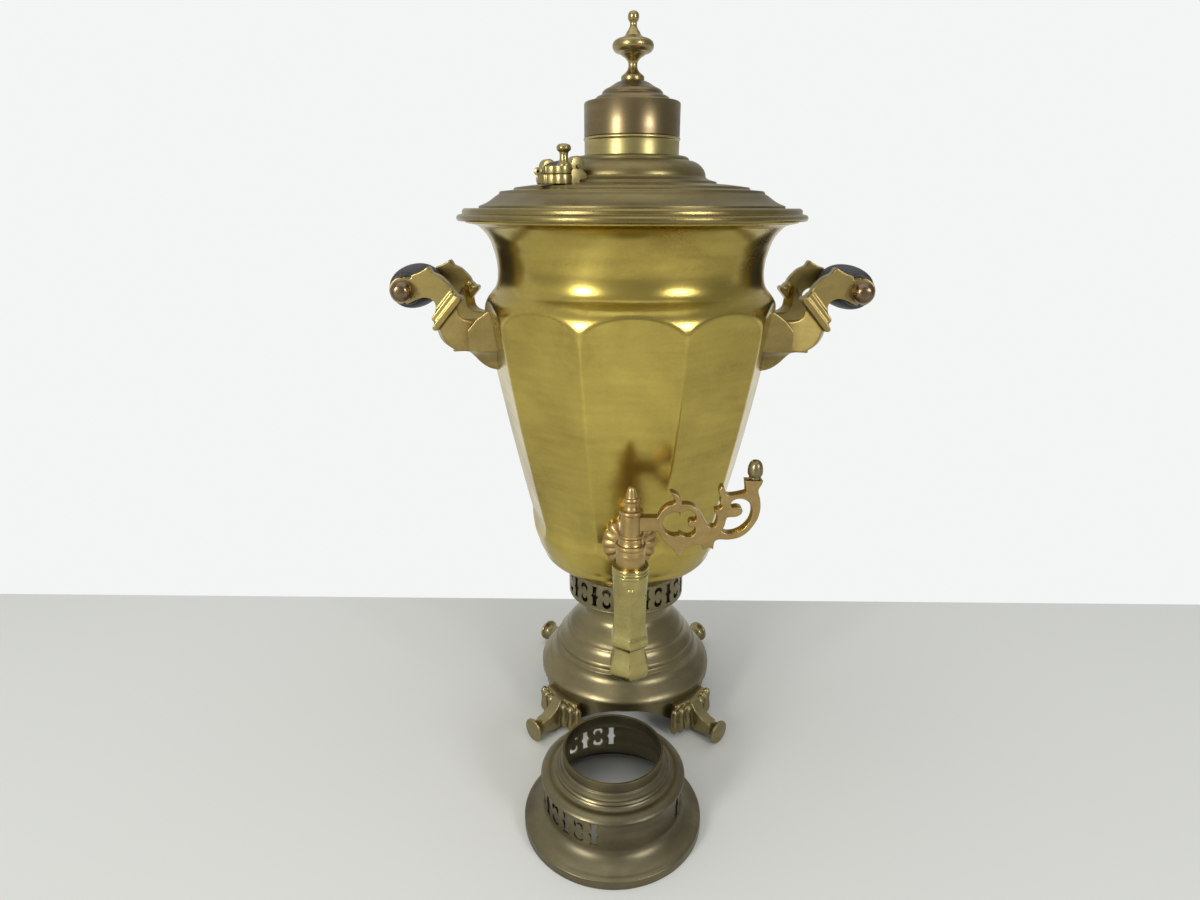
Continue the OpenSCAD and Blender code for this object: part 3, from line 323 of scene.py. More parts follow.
def laid_out(name, points, faces):
    """A new object from points in millimetres, with its faces turned outward."""
    mesh = bpy.data.meshes.new(name)
    mesh.from_pydata([[c * 0.001 for c in p] for p in points], [], faces)
    work = bmesh.new()
    work.from_mesh(mesh)
    bmesh.ops.recalc_face_normals(work, faces=work.faces)
    work.to_mesh(mesh)
    work.free()
    piece = bpy.data.objects.new(name, mesh)
    bpy.context.scene.collection.objects.link(piece)
    return piece


def settle(piece):
    """Keeps what a piece's modifiers make of it as its own mesh."""
    bpy.context.view_layer.update()
    graph = bpy.context.evaluated_depsgraph_get()
    made = bpy.data.meshes.new_from_object(piece.evaluated_get(graph))
    piece.modifiers.clear()
    piece.data = made


def fit(piece, metal, slot, body, *cad_nodes, crease=34):
    """Shades a finished piece, gives it its metal and seats it in place of its CAD nodes."""
    piece.data.shade_smooth()
    piece.data.set_sharp_from_angle(angle=math.radians(crease))
    piece.data.materials.clear()
    piece.data.materials.append(metal)
    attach(piece, body)
    if cad_nodes:
        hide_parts(*cad_nodes)


def eased(outline, closed=False, corner=40, rounding=0.35, finest=0.7):
    """Draws a curve through an outline's points; its sharp corners are only broken."""
    points = [Vector(p) for p in outline]
    count = len(points)
    keep = []
    for i in range(count):
        if not closed and i in (0, count - 1):
            keep.append(True)
            continue
        before = points[i] - points[i - 1]
        after = points[(i + 1) % count] - points[i]
        keep.append(before.angle(after, 0.0) >= math.radians(corner))
    fine = []
    for i in range(count if closed else count - 1):
        a, b = points[i], points[(i + 1) % count]
        chord = b - a
        start = chord if keep[i] else (b - points[i - 1]).normalized() * chord.length
        stop = chord
        if not keep[(i + 1) % count]:
            stop = (points[(i + 2) % count] - a).normalized() * chord.length
        steps = max(1, min(8, int(chord.length / finest)))
        for k in range(steps):
            t = k / steps
            spot = (
                a * (2 * t**3 - 3 * t**2 + 1)
                + start * (t**3 - 2 * t**2 + t)
                + b * (3 * t**2 - 2 * t**3)
                + stop * (t**3 - t**2)
            )
            fine.append((spot, keep[i] and k == 0))
    if not closed:
        fine.append((points[-1], True))
    curve = []
    for i, (spot, is_corner) in enumerate(fine):
        if not is_corner or (not closed and i in (0, len(fine) - 1)):
            curve.append((spot.x, spot.y))
            continue
        back = fine[i - 1][0] - spot
        ahead = fine[(i + 1) % len(fine)][0] - spot
        reach = min(rounding, back.length * 0.45, ahead.length * 0.45)
        a = spot + back.normalized() * reach
        b = spot + ahead.normalized() * reach
        for t in (0, 1 / 3, 2 / 3, 1):
            mid = a * (1 - t) ** 2 + spot * 2 * t * (1 - t) + b * t * t
            curve.append((mid.x, mid.y))
    return curve


def lathe(outline, closed=False, segments=192, axis="Z", at=(0, 0, 0)):
    """Points and faces of an outline of (radius, height) spun round an axis."""
    points, faces, rings = [], [], []
    for r, h in outline:
        spots = 1 if r < 1e-4 else segments
        rings.append((len(points), spots))
        for k in range(spots):
            turn = 2 * math.pi * k / segments
            u, v = r * math.cos(turn), r * math.sin(turn)
            spot = {"Z": (u, v, h), "Y": (u, h, v), "X": (h, u, v)}[axis]
            points.append([spot[n] + at[n] for n in range(3)])
    pairs = list(zip(rings, rings[1:]))
    if closed:
        pairs.append((rings[-1], rings[0]))
    for (a, many_a), (b, many_b) in pairs:
        for k in range(segments):
            n = (k + 1) % segments
            if many_a == 1 and many_b == 1:
                break
            if many_a == 1:
                faces.append((a, b + k, b + n))
            elif many_b == 1:
                faces.append((a + k, a + n, b))
            else:
                faces.append((a + k, a + n, b + n, b + k))
    return points, faces


def slab(outline, low, high):
    """Points and faces of a closed outline in X and Z, pushed through from low to high."""
    count = len(outline)
    points = [(x, low, z) for x, z in outline] + [(x, high, z) for x, z in outline]
    faces = [tuple(range(count)), tuple(range(2 * count - 1, count - 1, -1))]
    faces += [(k, (k + 1) % count, (k + 1) % count + count, k + count) for k in range(count)]
    return points, faces


def merged(solids):
    """One list of points and one of faces for several solids."""
    points, faces = [], []
    for some_points, some_faces in solids:
        start = len(points)
        points += list(some_points)
        faces += [tuple(start + k for k in face) for face in some_faces]
    return points, faces


def recast(piece, grain, rubs):
    """Turns a piece into one skin of even grain, in millimetres, and rubs its edges soft."""
    pour = piece.modifiers.new("pour", "REMESH")
    pour.mode = "VOXEL"
    pour.voxel_size = grain * 0.001
    rub = piece.modifiers.new("rub", "SMOOTH")
    rub.factor = 0.5
    rub.iterations = rubs
    settle(piece)


def cast(name, solids, grain, rubs):
    """Pours overlapping solids into one casting and rubs its edges soft."""
    piece = laid_out(name, *merged(solids))
    recast(piece, grain, rubs)
    return piece


def turned_copy(piece, name, matrix):
    """Another casting from the same pattern, turned or mirrored to its own place."""
    mesh = piece.data.copy()
    mesh.transform(matrix)
    if matrix.determinant() < 0:
        mesh.flip_normals()
    copy = bpy.data.objects.new(name, mesh)
    bpy.context.scene.collection.objects.link(copy)
    return copy


worn_brass = old_brass(
    "worn_brass", clean=(0.27, 0.225, 0.115), tarnished=(0.12, 0.105, 0.07),
    amount=0.42, cloud=16.0, rubbing=0.25, smooth=0.3, dull=0.45, bump=0.05, lines=0.35,
)
apron_r = 70.8
backing_r = 77.2
disc_r = 9.5
disc_x = 106
leg = [
    (apron_r, 27), (79.8, 26.5), (80.8, 25.6), (82.7, 22.8), (85.5, 19.7), (89, 17.5), (93, 15.6),
    (98, 15), (98, 5), (86, 2), (apron_r, 2),
]
shell = []
for z in (6.5, 26.8):
    for r in (apron_r, backing_r):
        for k in range(9):
            turn = math.radians(-14 + 3.5 * k)
            shell.append((r * math.cos(turn), r * math.sin(turn), z))
shell_faces = []
for k in range(8):
    shell_faces += [
        (k, k + 1, k + 10, k + 9), (k + 18, k + 19, k + 28, k + 27), (k, k + 1, k + 19, k + 18),
        (k + 9, k + 10, k + 28, k + 27),
    ]
shell_faces += [(0, 9, 27, 18), (8, 17, 35, 26)]
pattern = [
    slab(leg, -5, 5),
    lathe(
        [(0, 86), (5.5, 86), (5.5, 97), (6.4, 101), (8, 103), (disc_r, 104), (disc_r, disc_x),
         (0, 106.8)],
        segments=64, axis="X", at=(0, 0, disc_r),
    ),
    (shell, shell_faces),
]
for turn, wide in ((-15.4, 3.0), (-10.8, 3.5), (-5.6, 3.8), (5.6, 3.8), (10.8, 3.5), (15.4, 3.0)):
    rib = [(0, 2.6), (wide * 0.7, 3.4), (wide * 0.98, 5.2), (wide * 1.08, 8), (wide, 11.5),
           (wide * 0.84, 15), (wide * 0.9, 19), (wide, 21.6), (wide * 0.8, 23.8), (wide * 0.4, 25.2),
           (0, 25.6)]
    a = math.radians(turn)
    out = 77 + 0.6 * wide
    pattern.append(lathe(rib, segments=40, at=(out * math.cos(a), out * math.sin(a), 0)))
foot_brass = old_brass(
    "foot_brass", clean=(0.37, 0.31, 0.15), tarnished=(0.17, 0.14, 0.075),
    amount=0.4, cloud=30.0, rubbing=0.2, smooth=0.3, dull=0.45, bump=0.06,
)
foot = cast("foot_casting", pattern, grain=0.45, rubs=9)
for name, turn in (
    ("foot_back_right", 45), ("foot_back_left", 135),
    ("foot_front_left", 225), ("foot_front_right", 315),
):
    one = turned_copy(foot, "cast_" + name, Matrix.Rotation(math.radians(turn), 4, "Z"))
    fit(one, foot_brass, "worn_brass", "samovar", name)
bpy.data.objects.remove(foot)

# ---------------------------------------------------------------------------
# Skirt and base: brass sheet spun over a form. The skirt is cut away in four arches
# between the feet; the base swells in steps and carries the pierced band on its flat top.
# ---------------------------------------------------------------------------
skirt_columns, skirt_rows = 240, 6
skirt_top, skirt_thick = 28, 2
arch_r, arch_down = 52, 26


def hoop(points, ring):
    """Points and faces of a closed hoop whose points stand in columns of one ring each."""
    columns = len(points) // ring
    faces = []
    for k in range(columns):
        n = (k + 1) % columns
        for j in range(ring):
            m = (j + 1) % ring
            faces.append((k * ring + j, n * ring + j, n * ring + m, k * ring + m))
    return points, faces


points = []
for k in range(skirt_columns):
    turn = 2 * math.pi * k / skirt_columns
    lower = 5.0
    for along in (math.cos(turn), math.sin(turn)):
        if abs(along * apron_r) < arch_r:
            lower = max(lower, math.sqrt(arch_r**2 - (along * apron_r) ** 2) - arch_down)
    edge = [(apron_r, lower + (skirt_top - lower) * n / skirt_rows) for n in range(skirt_rows + 1)]
    edge += [(r - skirt_thick, z) for r, z in reversed(edge)]
    points += [(r * math.cos(turn), r * math.sin(turn), z) for r, z in edge]
skirt = laid_out("arched_skirt", *hoop(points, 2 * (skirt_rows + 1)))
fit(skirt, worn_brass, "worn_brass", "samovar", "base_apron")

base_r, base_wall, base_hole_r = 72.8, 1.5, 32.8
base_line = [(share * base_r, z) for share, z in (
    (0.494, 99.5), (0.49, 96), (0.484, 88), (0.49, 83), (0.51, 80), (0.547, 77), (0.596, 74),
    (0.638, 71.4), (0.658, 69.8), (0.668, 68.8), (0.68, 67.6), (0.698, 66.4), (0.706, 64.6),
    (0.728, 62), (0.764, 59.2), (0.786, 57.6), (0.794, 56), (0.794, 53.6), (0.81, 52.4), (0.83, 51.6),
    (0.832, 49.4), (0.838, 47), (0.857, 44.4), (0.885, 42.2), (0.915, 40.6), (0.931, 39.6),
    (0.959, 37.8), (0.986, 35.4), (1, 33.2), (1, 31.2), (1, 27),
)]
base_line = [(base_hole_r, 101.5), (48.3, 101.5), (48.3, 99.5)] + base_line
curve = eased(base_line, corner=25, rounding=0.5)
inner = [
    (max(r - base_wall, base_hole_r), max(z - base_wall, 27)) for r, z in curve if r > base_hole_r + 0.7
]
points, faces = lathe(curve + inner[::-1], closed=True, segments=240)
base = laid_out("spun_base", points, faces)
fit(base, worn_brass, "worn_brass", "samovar", "base_bell")

# ---------------------------------------------------------------------------
# Pierced band between base and urn: a brass strip, pierced with a row of facing
# crescents and flared slots before it was bent round and soldered.
# ---------------------------------------------------------------------------


def arc(x, z, r, first, last, count):
    """Points on an arc round (x, z), from its first to its last direction in degrees."""
    turns = [math.radians(first + (last - first) * k / (count - 1)) for k in range(count)]
    return [(x + r * math.cos(a), z + r * math.sin(a)) for a in turns]


def crescent(h, half):
    """One half of a pair of crescents that face each other, half is 1 above and -1 below."""
    middle = h / 2 - 3.7
    outline = arc(0, middle, 3.7, -62.4, 242.4, 25) + arc(0, middle - 1.9, 2.2, 218.8, -38.8, 19)[1:-1]
    return [(x, half * z) for x, z in outline]


def flared_slot(h):
    """A narrow slot, flared at its ends, with a point on each side of its middle."""
    quarter = [(3.3, h / 2), (2.5, h / 2 - 0.5), (1.95, h / 2 - 1.4), (1.8, h / 2 - 2.6), (1.8, 2.8),
               (2.1, 1.8), (2.8, 0.8), (3.6, 0)]
    right_half = quarter + [(x, -z) for x, z in quarter[-2::-1]]
    return right_half + [(-x, z) for x, z in right_half[::-1]]


def cut_away(piece, points, faces):
    """Cuts a solid out of a piece, which stays closed."""
    tool = laid_out("cutting_tool", points, faces)
    cut = piece.modifiers.new("cut", "BOOLEAN")
    cut.operation = "DIFFERENCE"
    cut.solver = "EXACT"
    cut.object = tool
    settle(piece)
    bpy.data.objects.remove(tool)


def pierce(piece, motifs, wall_r, middle_z, at=(0, 0)):
    """Cuts motifs, each with its direction counted from the front, through a round wall."""
    tools = []
    for direction, outline in motifs:
        a = math.radians(direction)
        flat, flat_faces = slab(outline, -wall_r - 4, -wall_r + 4)
        placed = []
        for x, y, z in flat:
            turned_x = x * math.cos(a) - y * math.sin(a)
            turned_y = x * math.sin(a) + y * math.cos(a)
            placed.append((turned_x + at[0], turned_y + at[1], z + middle_z))
        tools.append((placed, flat_faces))
    cut_away(piece, *merged(tools))


band_r, band_wall = 48.3, 1.5
band_low, band_high = 101.5, 124
motif_pairs, motif_high, motif_middle, first_pair = 14, 17.4, 112.35, 5.9
band_line = [(band_r, band_low), (band_r, band_high), (band_r - band_wall, band_high),
             (band_r - band_wall, band_low)]
band = laid_out("pierced_band", *lathe(
    eased(band_line, closed=True, rounding=0.2, finest=30), closed=True, segments=280,
))
motifs = []
for k in range(motif_pairs):
    direction = first_pair + k * 360 / motif_pairs
    motifs += [(direction, crescent(motif_high, 1)), (direction, crescent(motif_high, -1))]
    motifs += [(direction + 180 / motif_pairs, flared_slot(motif_high))]
pierce(band, motifs, band_r, motif_middle)
fit(band, worn_brass, "worn_brass", "samovar", "neck_band", crease=30)

# ---------------------------------------------------------------------------
# The urn: brass sheet drawn and hammered to ten flat sides that bow a little, each
# under an arch, with a round neck above and a rounded bottom. It holds the water.
# ---------------------------------------------------------------------------
urn_brass = old_brass(
    "urn_brass", clean=(0.63, 0.50, 0.12), tarnished=(0.28, 0.2, 0.052),
    amount=0.5, cloud=9.0, rubbing=0.2, smooth=0.15, dull=0.32, bump=0.03,
)
sides, half_side = 10, math.radians(18)
side_rounding, ridge, ridge_drop = 6.5, 1.3, 0.32
urn_wall = 1.4
urn_line = eased([
    (120, 401), (120, 399.8), (112, 398), (108.2, 395), (104.9, 391), (102.7, 387), (101.2, 382.5),
    (99.4, 376), (98.4, 369), (98.4, 363), (99, 358.5), (100.6, 354.3), (103.4, 350.8), (106.4, 347),
    (108.6, 342.6), (109.9, 338), (110.5, 332), (110.5, 322), (109.6, 310), (107.6, 290), (104, 268),
    (100, 245), (95.6, 220), (91, 200), (86.3, 190), (82, 180), (80.2, 175), (78.6, 169.5),
    (77.1, 164), (75.4, 158), (73.6, 152), (72.2, 148), (70.4, 144.4), (69.8, 143.2), (68.8, 140),
    (66.6, 137), (63.8, 134.6), (60.6, 132.9), (58.6, 131.6), (56.4, 131), (55.4, 129), (53.2, 127.6),
    (50.9, 126.4), (49.3, 124),
], finest=1.2)


def round_r(z):
    """Radius of the urn's round form at a height."""
    for (ra, za), (rb, zb) in zip(urn_line, urn_line[1:]):
        if zb <= z <= za and za > zb:
            return ra + (rb - ra) * (za - z) / (za - zb)
    return urn_line[-1][0]


def side_r(z):
    """Distance from the axis to the middle of a flat side, with its soft foot."""
    bowed = 129.55 - 2000 + math.sqrt(2000**2 - (640 - z) ** 2)
    if abs(z - 176) >= 60 or z > 178:
        return bowed
    return max(bowed, 74.98 + 59.4 - math.sqrt(60**2 - (z - 176) ** 2))


def sided_r(off, half, apothem, rounding):
    """Distance to a flat side, or to the rounded corner, at an angle off the side's middle."""
    off = abs(off)
    if off <= math.atan2((apothem - rounding) * math.tan(half), apothem):
        return apothem / math.cos(off)
    centre = (apothem - rounding) / math.cos(half)
    aside = centre * math.sin(half - off)
    return centre * math.cos(half - off) + math.sqrt(rounding**2 - aside**2)


def urn_r(off, z):
    """Outer radius of the urn at an angle off the middle of a side."""
    a = round_r(z)
    b = sided_r(off, half_side, side_r(z), side_rounding)
    near = max(ridge - abs(a - b), 0) / ridge
    return min(a, b) - near * near * ridge_drop


def uneven(turn, z):
    """How far the hammered sheet strays from its true form, less towards its ends."""
    ends = min(1, max(0, (395 - z) / 12), max(0, (z - 131) / 12))
    waves = math.sin(3 * turn + z / 17) + math.sin(7 * turn - z / 11 + 1.3) * math.sin(z / 23 + 0.4)
    return 0.07 * ends * (waves + math.sin(13 * turn + 2) * math.sin(z / 8))


def meeting(off, start, stop, step):
    """Height at which a side meets the round form, searched from start to stop."""
    z = start
    while (z - stop) * step < 0:
        if sided_r(off, half_side, side_r(z), side_rounding) < round_r(z):
            return z
        z += step
    return stop


creases = (1.2, 0.6, 0.25, 0, -0.25, -0.6, -1.2)
from_corner = (0, 0.12, 0.26, 0.42, 0.8, 1.6, 3, 5, 7, 9, 11, 13, 15.5)
offs = [-18 + c for c in from_corner] + [0] + [18 - c for c in reversed(from_corner[1:])]
neck = [(r, z) for r, z in urn_line if z > 348]
bottom = [(r, z) for r, z in urn_line if z < 143]
points, ring = [], 0
for flat in range(sides):
    for off_degrees in offs:
        off = math.radians(off_degrees)
        turn = math.radians(-90 + 36 * flat) + off
        arch = meeting(off, 348, 300, -0.05)
        foot_z = meeting(off, 144, 182, 0.05)
        heights = [348 + (arch + 1.2 - 348) * k / 12 for k in range(12)]
        heights += [arch + c for c in creases]
        heights += [arch - 1.2 + (foot_z + 2.4 - arch) * k / 64 for k in range(1, 64)]
        heights += [foot_z + c for c in creases]
        heights += [foot_z - 1.2 + (143 - foot_z + 1.2) * k / 12 for k in range(1, 13)]
        outside = neck + [(urn_r(off, z), z) for z in heights] + bottom
        outside = [(r + uneven(turn, z), z) for r, z in outside]
        inside = [(r - urn_wall, z) for r, z in outside if 126.2 < z < 390.4]
        loop = outside + [(41.05, 124), (41.05, 125.4), (48.2, 125.4)] + inside[::-1]
        loop += [(103.4, 390.8), (103.4, 401)]
        ring = len(loop)
        points += [(r * math.cos(turn), r * math.sin(turn), z) for r, z in loop]
urn = laid_out("urn_body", *hoop(points, ring))
fit(urn, urn_brass, "urn_brass", "samovar", "body_shell", crease=40)

# ---------------------------------------------------------------------------
# Ring at the urn's mouth: heavy spun brass with a bead, soldered on the lip. The lid
# lies on its ledge.
# ---------------------------------------------------------------------------
ring_line = [(104.4, 401), (125, 401), (126, 402), (126, 404), (124.6, 405.2), (122.3, 405.7)]
ring_line += [
    (119.4 + 2.6 * math.cos(a), 407 + 2.6 * math.sin(a)) for a in (-0.25, 0.2, 0.6, 1.0, 1.4, 1.8, 2.2)
]
ring_line += [(117.2, 409), (104.4, 409)]
points, faces = lathe(eased(ring_line, closed=True, rounding=0.5), closed=True, segments=300)
mouth_ring = laid_out("mouth_ring", points, faces)
ring_brass = old_brass(
    "ring_brass", clean=(0.31, 0.245, 0.09), tarnished=(0.16, 0.12, 0.045),
    amount=0.4, cloud=14.0, rubbing=0.35, smooth=0.2, dull=0.36, bump=0.03, lines=0.3,
)
fit(mouth_ring, ring_brass, "urn_brass", "samovar", "top_ring")

# ---------------------------------------------------------------------------
# Fire tube, grate and collar: a drawn tube runs from the base up through the lid, with
# an iron grate at its foot; a bright sleeve on it shows between lid and cap.
# ---------------------------------------------------------------------------
tube_line = [(32.7, 470), (32.7, 300), (41, 160), (41, 121), (35.5, 121), (35.5, 123), (39.5, 123),
             (39.5, 160), (31.2, 300), (31.2, 470)]
points, faces = lathe(eased(tube_line, closed=True, finest=20, rounding=0.3), closed=True, segments=144)
tube = laid_out("smoke_tube", points, faces)
fit(tube, worn_brass, "worn_brass", "samovar", "fire_tube")

bright_brass = old_brass(
    "bright_brass", clean=(0.45, 0.38, 0.16), tarnished=(0.25, 0.195, 0.08),
    amount=0.36, cloud=24.0, rubbing=0.3, smooth=0.26, dull=0.42, bump=0.04, lines=0.3,
)
collar_line = [(32.7, 425), (33.7, 425), (33.7, 454.6), (34.4, 455.4), (34.4, 456.4), (33.7, 457),
               (32.7, 457)]
points, faces = lathe(eased(collar_line, closed=True, rounding=0.3), closed=True, segments=192)
collar = laid_out("tube_sleeve", points, faces)
fit(collar, bright_brass, "bright_brass", "samovar", "chimney_collar")

burnt_iron = bpy.data.materials.new("burnt_iron")
burnt_iron.use_nodes = True
i_nodes, i_links = burnt_iron.node_tree.nodes, burnt_iron.node_tree.links
i_nodes["Principled BSDF"].inputs["Metallic"].default_value = 0.7
i_scale = i_nodes.new("ShaderNodeTexNoise")
i_scale.inputs["Scale"].default_value = 180.0
i_scale.inputs["Detail"].default_value = 6.0
i_tint = i_nodes.new("ShaderNodeMix")
i_tint.data_type = "RGBA"
i_tint.inputs[6].default_value = (0.03, 0.028, 0.027, 1)
i_tint.inputs[7].default_value = (0.14, 0.08, 0.05, 1)
i_links.new(i_scale.outputs["Fac"], i_tint.inputs[0])
i_links.new(i_tint.outputs[2], i_nodes["Principled BSDF"].inputs["Base Color"])
i_bump = i_nodes.new("ShaderNodeBump")
i_bump.inputs["Strength"].default_value = 0.5
i_bump.inputs["Distance"].default_value = 0.001
i_links.new(i_scale.outputs["Fac"], i_bump.inputs["Height"])
i_links.new(i_bump.outputs["Normal"], i_nodes["Principled BSDF"].inputs["Normal"])
i_nodes["Principled BSDF"].inputs["Roughness"].default_value = 0.7
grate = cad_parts["fire_grate"]
grate.data.materials.clear()
grate.data.materials.append(burnt_iron)

# ---------------------------------------------------------------------------
# Carrying handles: on each side a cast plate soldered to the urn, two cast horns that
# rise from it and hold the rod, a black turned grip, and a turned knob on each rod end.
# ---------------------------------------------------------------------------
handle_brass = old_brass(
    "handle_brass", clean=(0.42, 0.32, 0.115), tarnished=(0.18, 0.13, 0.045),
    amount=0.42, cloud=34.0, rubbing=0.2, smooth=0.3, dull=0.46, bump=0.08,
)
grip_x, grip_z = 161, 354
horn_y, horn_t = 37, 9

plate_line = [
    (96, 338), (103, 338.4), (108, 335.4), (113, 331.5), (130.5, 310), (129.6, 308.4), (126, 309.2),
    (122, 309.8), (119, 308.8), (116.6, 304), (113, 298.5), (108.6, 294.6), (104, 292.6), (94, 291),
]
plate = laid_out("handle_plate", *slab(eased(plate_line, closed=True, rounding=0.8), -32, 32))
# The plate's back follows the urn: a wedge of the urn's form is cut out of it
wedge, wedge_faces = [], []
levels = [280 + 5 * k for k in range(14)]
for z in levels:
    for y in (60, 0, -60):
        bed = side_r(z) - 0.7 - abs(y) * math.sin(half_side)
        wedge.append((bed / math.cos(half_side), y, z))
    wedge += [(0, -60, z), (0, 60, z)]
for k in range(len(levels) - 1):
    wedge_faces += [
        (5 * k + j, 5 * k + (j + 1) % 5, 5 * k + 5 + (j + 1) % 5, 5 * k + 5 + j) for j in range(5)
    ]
wedge_faces += [tuple(range(5)), tuple(range(5 * len(levels) - 1, 5 * len(levels) - 6, -1))]
lobes = [lathe([(0, 60), (24, 60), (24, 150), (0, 150)], segments=96, axis="X", at=(0, s * 37, 286))
         for s in (-1, 1)]
for solid in [(wedge, wedge_faces)] + lobes:
    cut_away(plate, *solid)
recast(plate, grain=0.55, rubs=6)

head = [(9.7 * math.sin(math.radians(a)), 9.7 * math.cos(math.radians(a))) for a in range(10, 180, 10)]
arm_line = [
    (-7, 11.2), (-11.6, 12.6), (-15.7, 14.8), (-18.7, 16.9), (-20.1, 15), (-21.4, 12.6),
    (-23.8, 11.5), (-27.2, 9.8), (-29.7, 7.3), (-32.3, 4.7), (-33.9, 2.6), (-35.1, -0.3), (-36.5, -8),
    (-24, -27.5), (-21.8, -25.8), (-20.6, -23.2), (-20.4, -20.5), (-21.1, -17), (-22.1, -13.5),
    (-22.4, -9.9), (-21.5, -7.7), (-19.2, -5.7), (-16.5, -4.8), (-13, -4.8), (-9.4, -6), (-6.8, -7),
    (-1.5, -9.6),
]
arm = eased(head + arm_line, closed=True, corner=50, finest=1.2)
roll_a = [(-37.6, -3), (-36.4, -1.2), (-34.7, -0.6), (-33.2, -1.6), (-19.3, -18.4), (-19.2, -20.2),
          (-20.6, -21.6), (-22.4, -21.4)]
roll_b = [(-41, -6.2), (-40.8, -4.2), (-39.4, -3.2), (-37.6, -3.6), (-19.7, -24.6), (-19.4, -26.6),
          (-20.8, -28), (-22.8, -27.8)]
root_line = [
    (-10, -2), (-11.6, -8), (-12.6, -12.1), (-13.7, -18.4), (-18.6, -21.6), (-26, -22.2),
    (-34, -22.4), (-34, -44), (-12, -44), (-6.9, -41.3), (-3.4, -38.4), (-0.8, -34), (0.6, -29.4),
    (2, -24),
]
solids = []
for outline, thick in ((arm, horn_t), (roll_a, horn_t + 2.4), (roll_b, horn_t + 4)):
    flat, flat_faces = slab(outline, horn_y - thick / 2, horn_y + thick / 2)
    solids.append(([(x + grip_x, y, z + grip_z) for x, y, z in flat], flat_faces))
flat, flat_faces = slab(eased(root_line, closed=True, corner=50, finest=2), -6, 6)
lean = math.radians(26)
solids.append((
    [(grip_x - 23 + x * math.cos(lean) - y * math.sin(lean),
      horn_y - 2 + x * math.sin(lean) + y * math.cos(lean), z + grip_z) for x, y, z in flat],
    flat_faces,
))
horn = cast("horn_casting", solids, grain=0.5, rubs=13)

black_wood = bpy.data.materials.new("black_wood")
black_wood.use_nodes = True
b_nodes, b_links = black_wood.node_tree.nodes, black_wood.node_tree.links
b_place = b_nodes.new("ShaderNodeTexCoord")
b_stretch = b_nodes.new("ShaderNodeMapping")
b_stretch.inputs["Scale"].default_value = (500, 40, 500)
b_links.new(b_place.outputs["Object"], b_stretch.inputs["Vector"])
b_grain = b_nodes.new("ShaderNodeTexNoise")
b_grain.inputs["Scale"].default_value = 1.0
b_grain.inputs["Detail"].default_value = 4.0
b_links.new(b_stretch.outputs[0], b_grain.inputs["Vector"])
b_tint = b_nodes.new("ShaderNodeMix")
b_tint.data_type = "RGBA"
b_tint.inputs[6].default_value = (0.008, 0.007, 0.009, 1)
b_tint.inputs[7].default_value = (0.035, 0.03, 0.034, 1)
b_links.new(b_grain.outputs["Fac"], b_tint.inputs[0])
b_links.new(b_tint.outputs[2], b_nodes["Principled BSDF"].inputs["Base Color"])
b_rough = b_nodes.new("ShaderNodeMapRange")
b_rough.inputs["To Min"].default_value = 0.3
b_rough.inputs["To Max"].default_value = 0.48
b_links.new(b_grain.outputs["Fac"], b_rough.inputs["Value"])
b_links.new(b_rough.outputs[0], b_nodes["Principled BSDF"].inputs["Roughness"])
b_bump = b_nodes.new("ShaderNodeBump")
b_bump.inputs["Strength"].default_value = 0.15
b_bump.inputs["Distance"].default_value = 0.001
b_links.new(b_grain.outputs["Fac"], b_bump.inputs["Height"])
b_links.new(b_bump.outputs["Normal"], b_nodes["Principled BSDF"].inputs["Normal"])

grip_half = horn_y - horn_t / 2
grip_line = [(0, -grip_half), (10.4, -grip_half), (11, 0.8 - grip_half), (11, 2.4 - grip_half)]
for k in range(121):
    y = -29.6 + 59.2 * k / 120
    swell = 11.2 + 4.6 * math.sqrt(max(0, 1 - (y / 31) ** 2))
    crest = abs(math.cos(math.pi * y / 4.2))
    grip_line.append((swell - 0.9 * (1 - crest) ** 1.5, y))
grip_line += [(11, grip_half - 2.4), (11, grip_half - 0.8), (10.4, grip_half), (0, grip_half)]

knob_line = [(3.05, 0), (7.6, 0), (7.6, 0.8), (6.9, 1.3), (7.5, 2.6), (7.7, 4.4), (7.2, 6.4),
             (5.9, 8.2), (4, 9.5), (2, 9.95), (0, 10)]
knob_brass = old_brass(
    "knob_brass", clean=(0.22, 0.15, 0.085), tarnished=(0.11, 0.075, 0.05),
    amount=0.4, cloud=40.0, rubbing=0.2, smooth=0.22, dull=0.4, bump=0.04,
)
for word, side in (("left", -1), ("right", 1)):
    flip = Matrix.Scale(side, 4, (1, 0, 0))
    one = turned_copy(plate, "cast_plate_" + word, flip)
    fit(one, handle_brass, "handle_brass", "samovar", "saddle_" + word, crease=60)
    for end_word, end in (("front", -1), ("back", 1)):
        turned = flip @ Matrix.Scale(end, 4, (0, 1, 0))
        one = turned_copy(horn, "cast_horn_" + word + "_" + end_word, turned)
        fit(one, handle_brass, "handle_brass", "samovar", "horn_" + word + "_" + end_word, crease=60)
    x = side * grip_x
    wood = laid_out("turned_grip_" + word, *lathe(grip_line, segments=96, axis="Y", at=(x, 0, grip_z)))
    fit(wood, black_wood, "black_wood", "samovar", "grip_" + word, crease=50)
    rod_line = [(0, -47), (2.4, -47), (3, -46.4), (3, 46.4), (2.4, 47), (0, 47)]
    rod = laid_out("handle_rod_" + word, *lathe(rod_line, segments=48, axis="Y", at=(x, 0, grip_z)))
    fit(rod, worn_brass, "worn_brass", "samovar", "rod_" + word)
    balls = []
    for end in (-1, 1):
        line = [(r, end * (h + horn_y + horn_t / 2)) for r, h in eased(knob_line, rounding=0.4)]
        balls.append(lathe(line, segments=72, axis="Y", at=(x, 0, grip_z)))
    knobs = laid_out("turned_knobs_" + word, *merged(balls))
    fit(knobs, knob_brass, "worn_brass", "samovar", "rod_knobs_" + word)
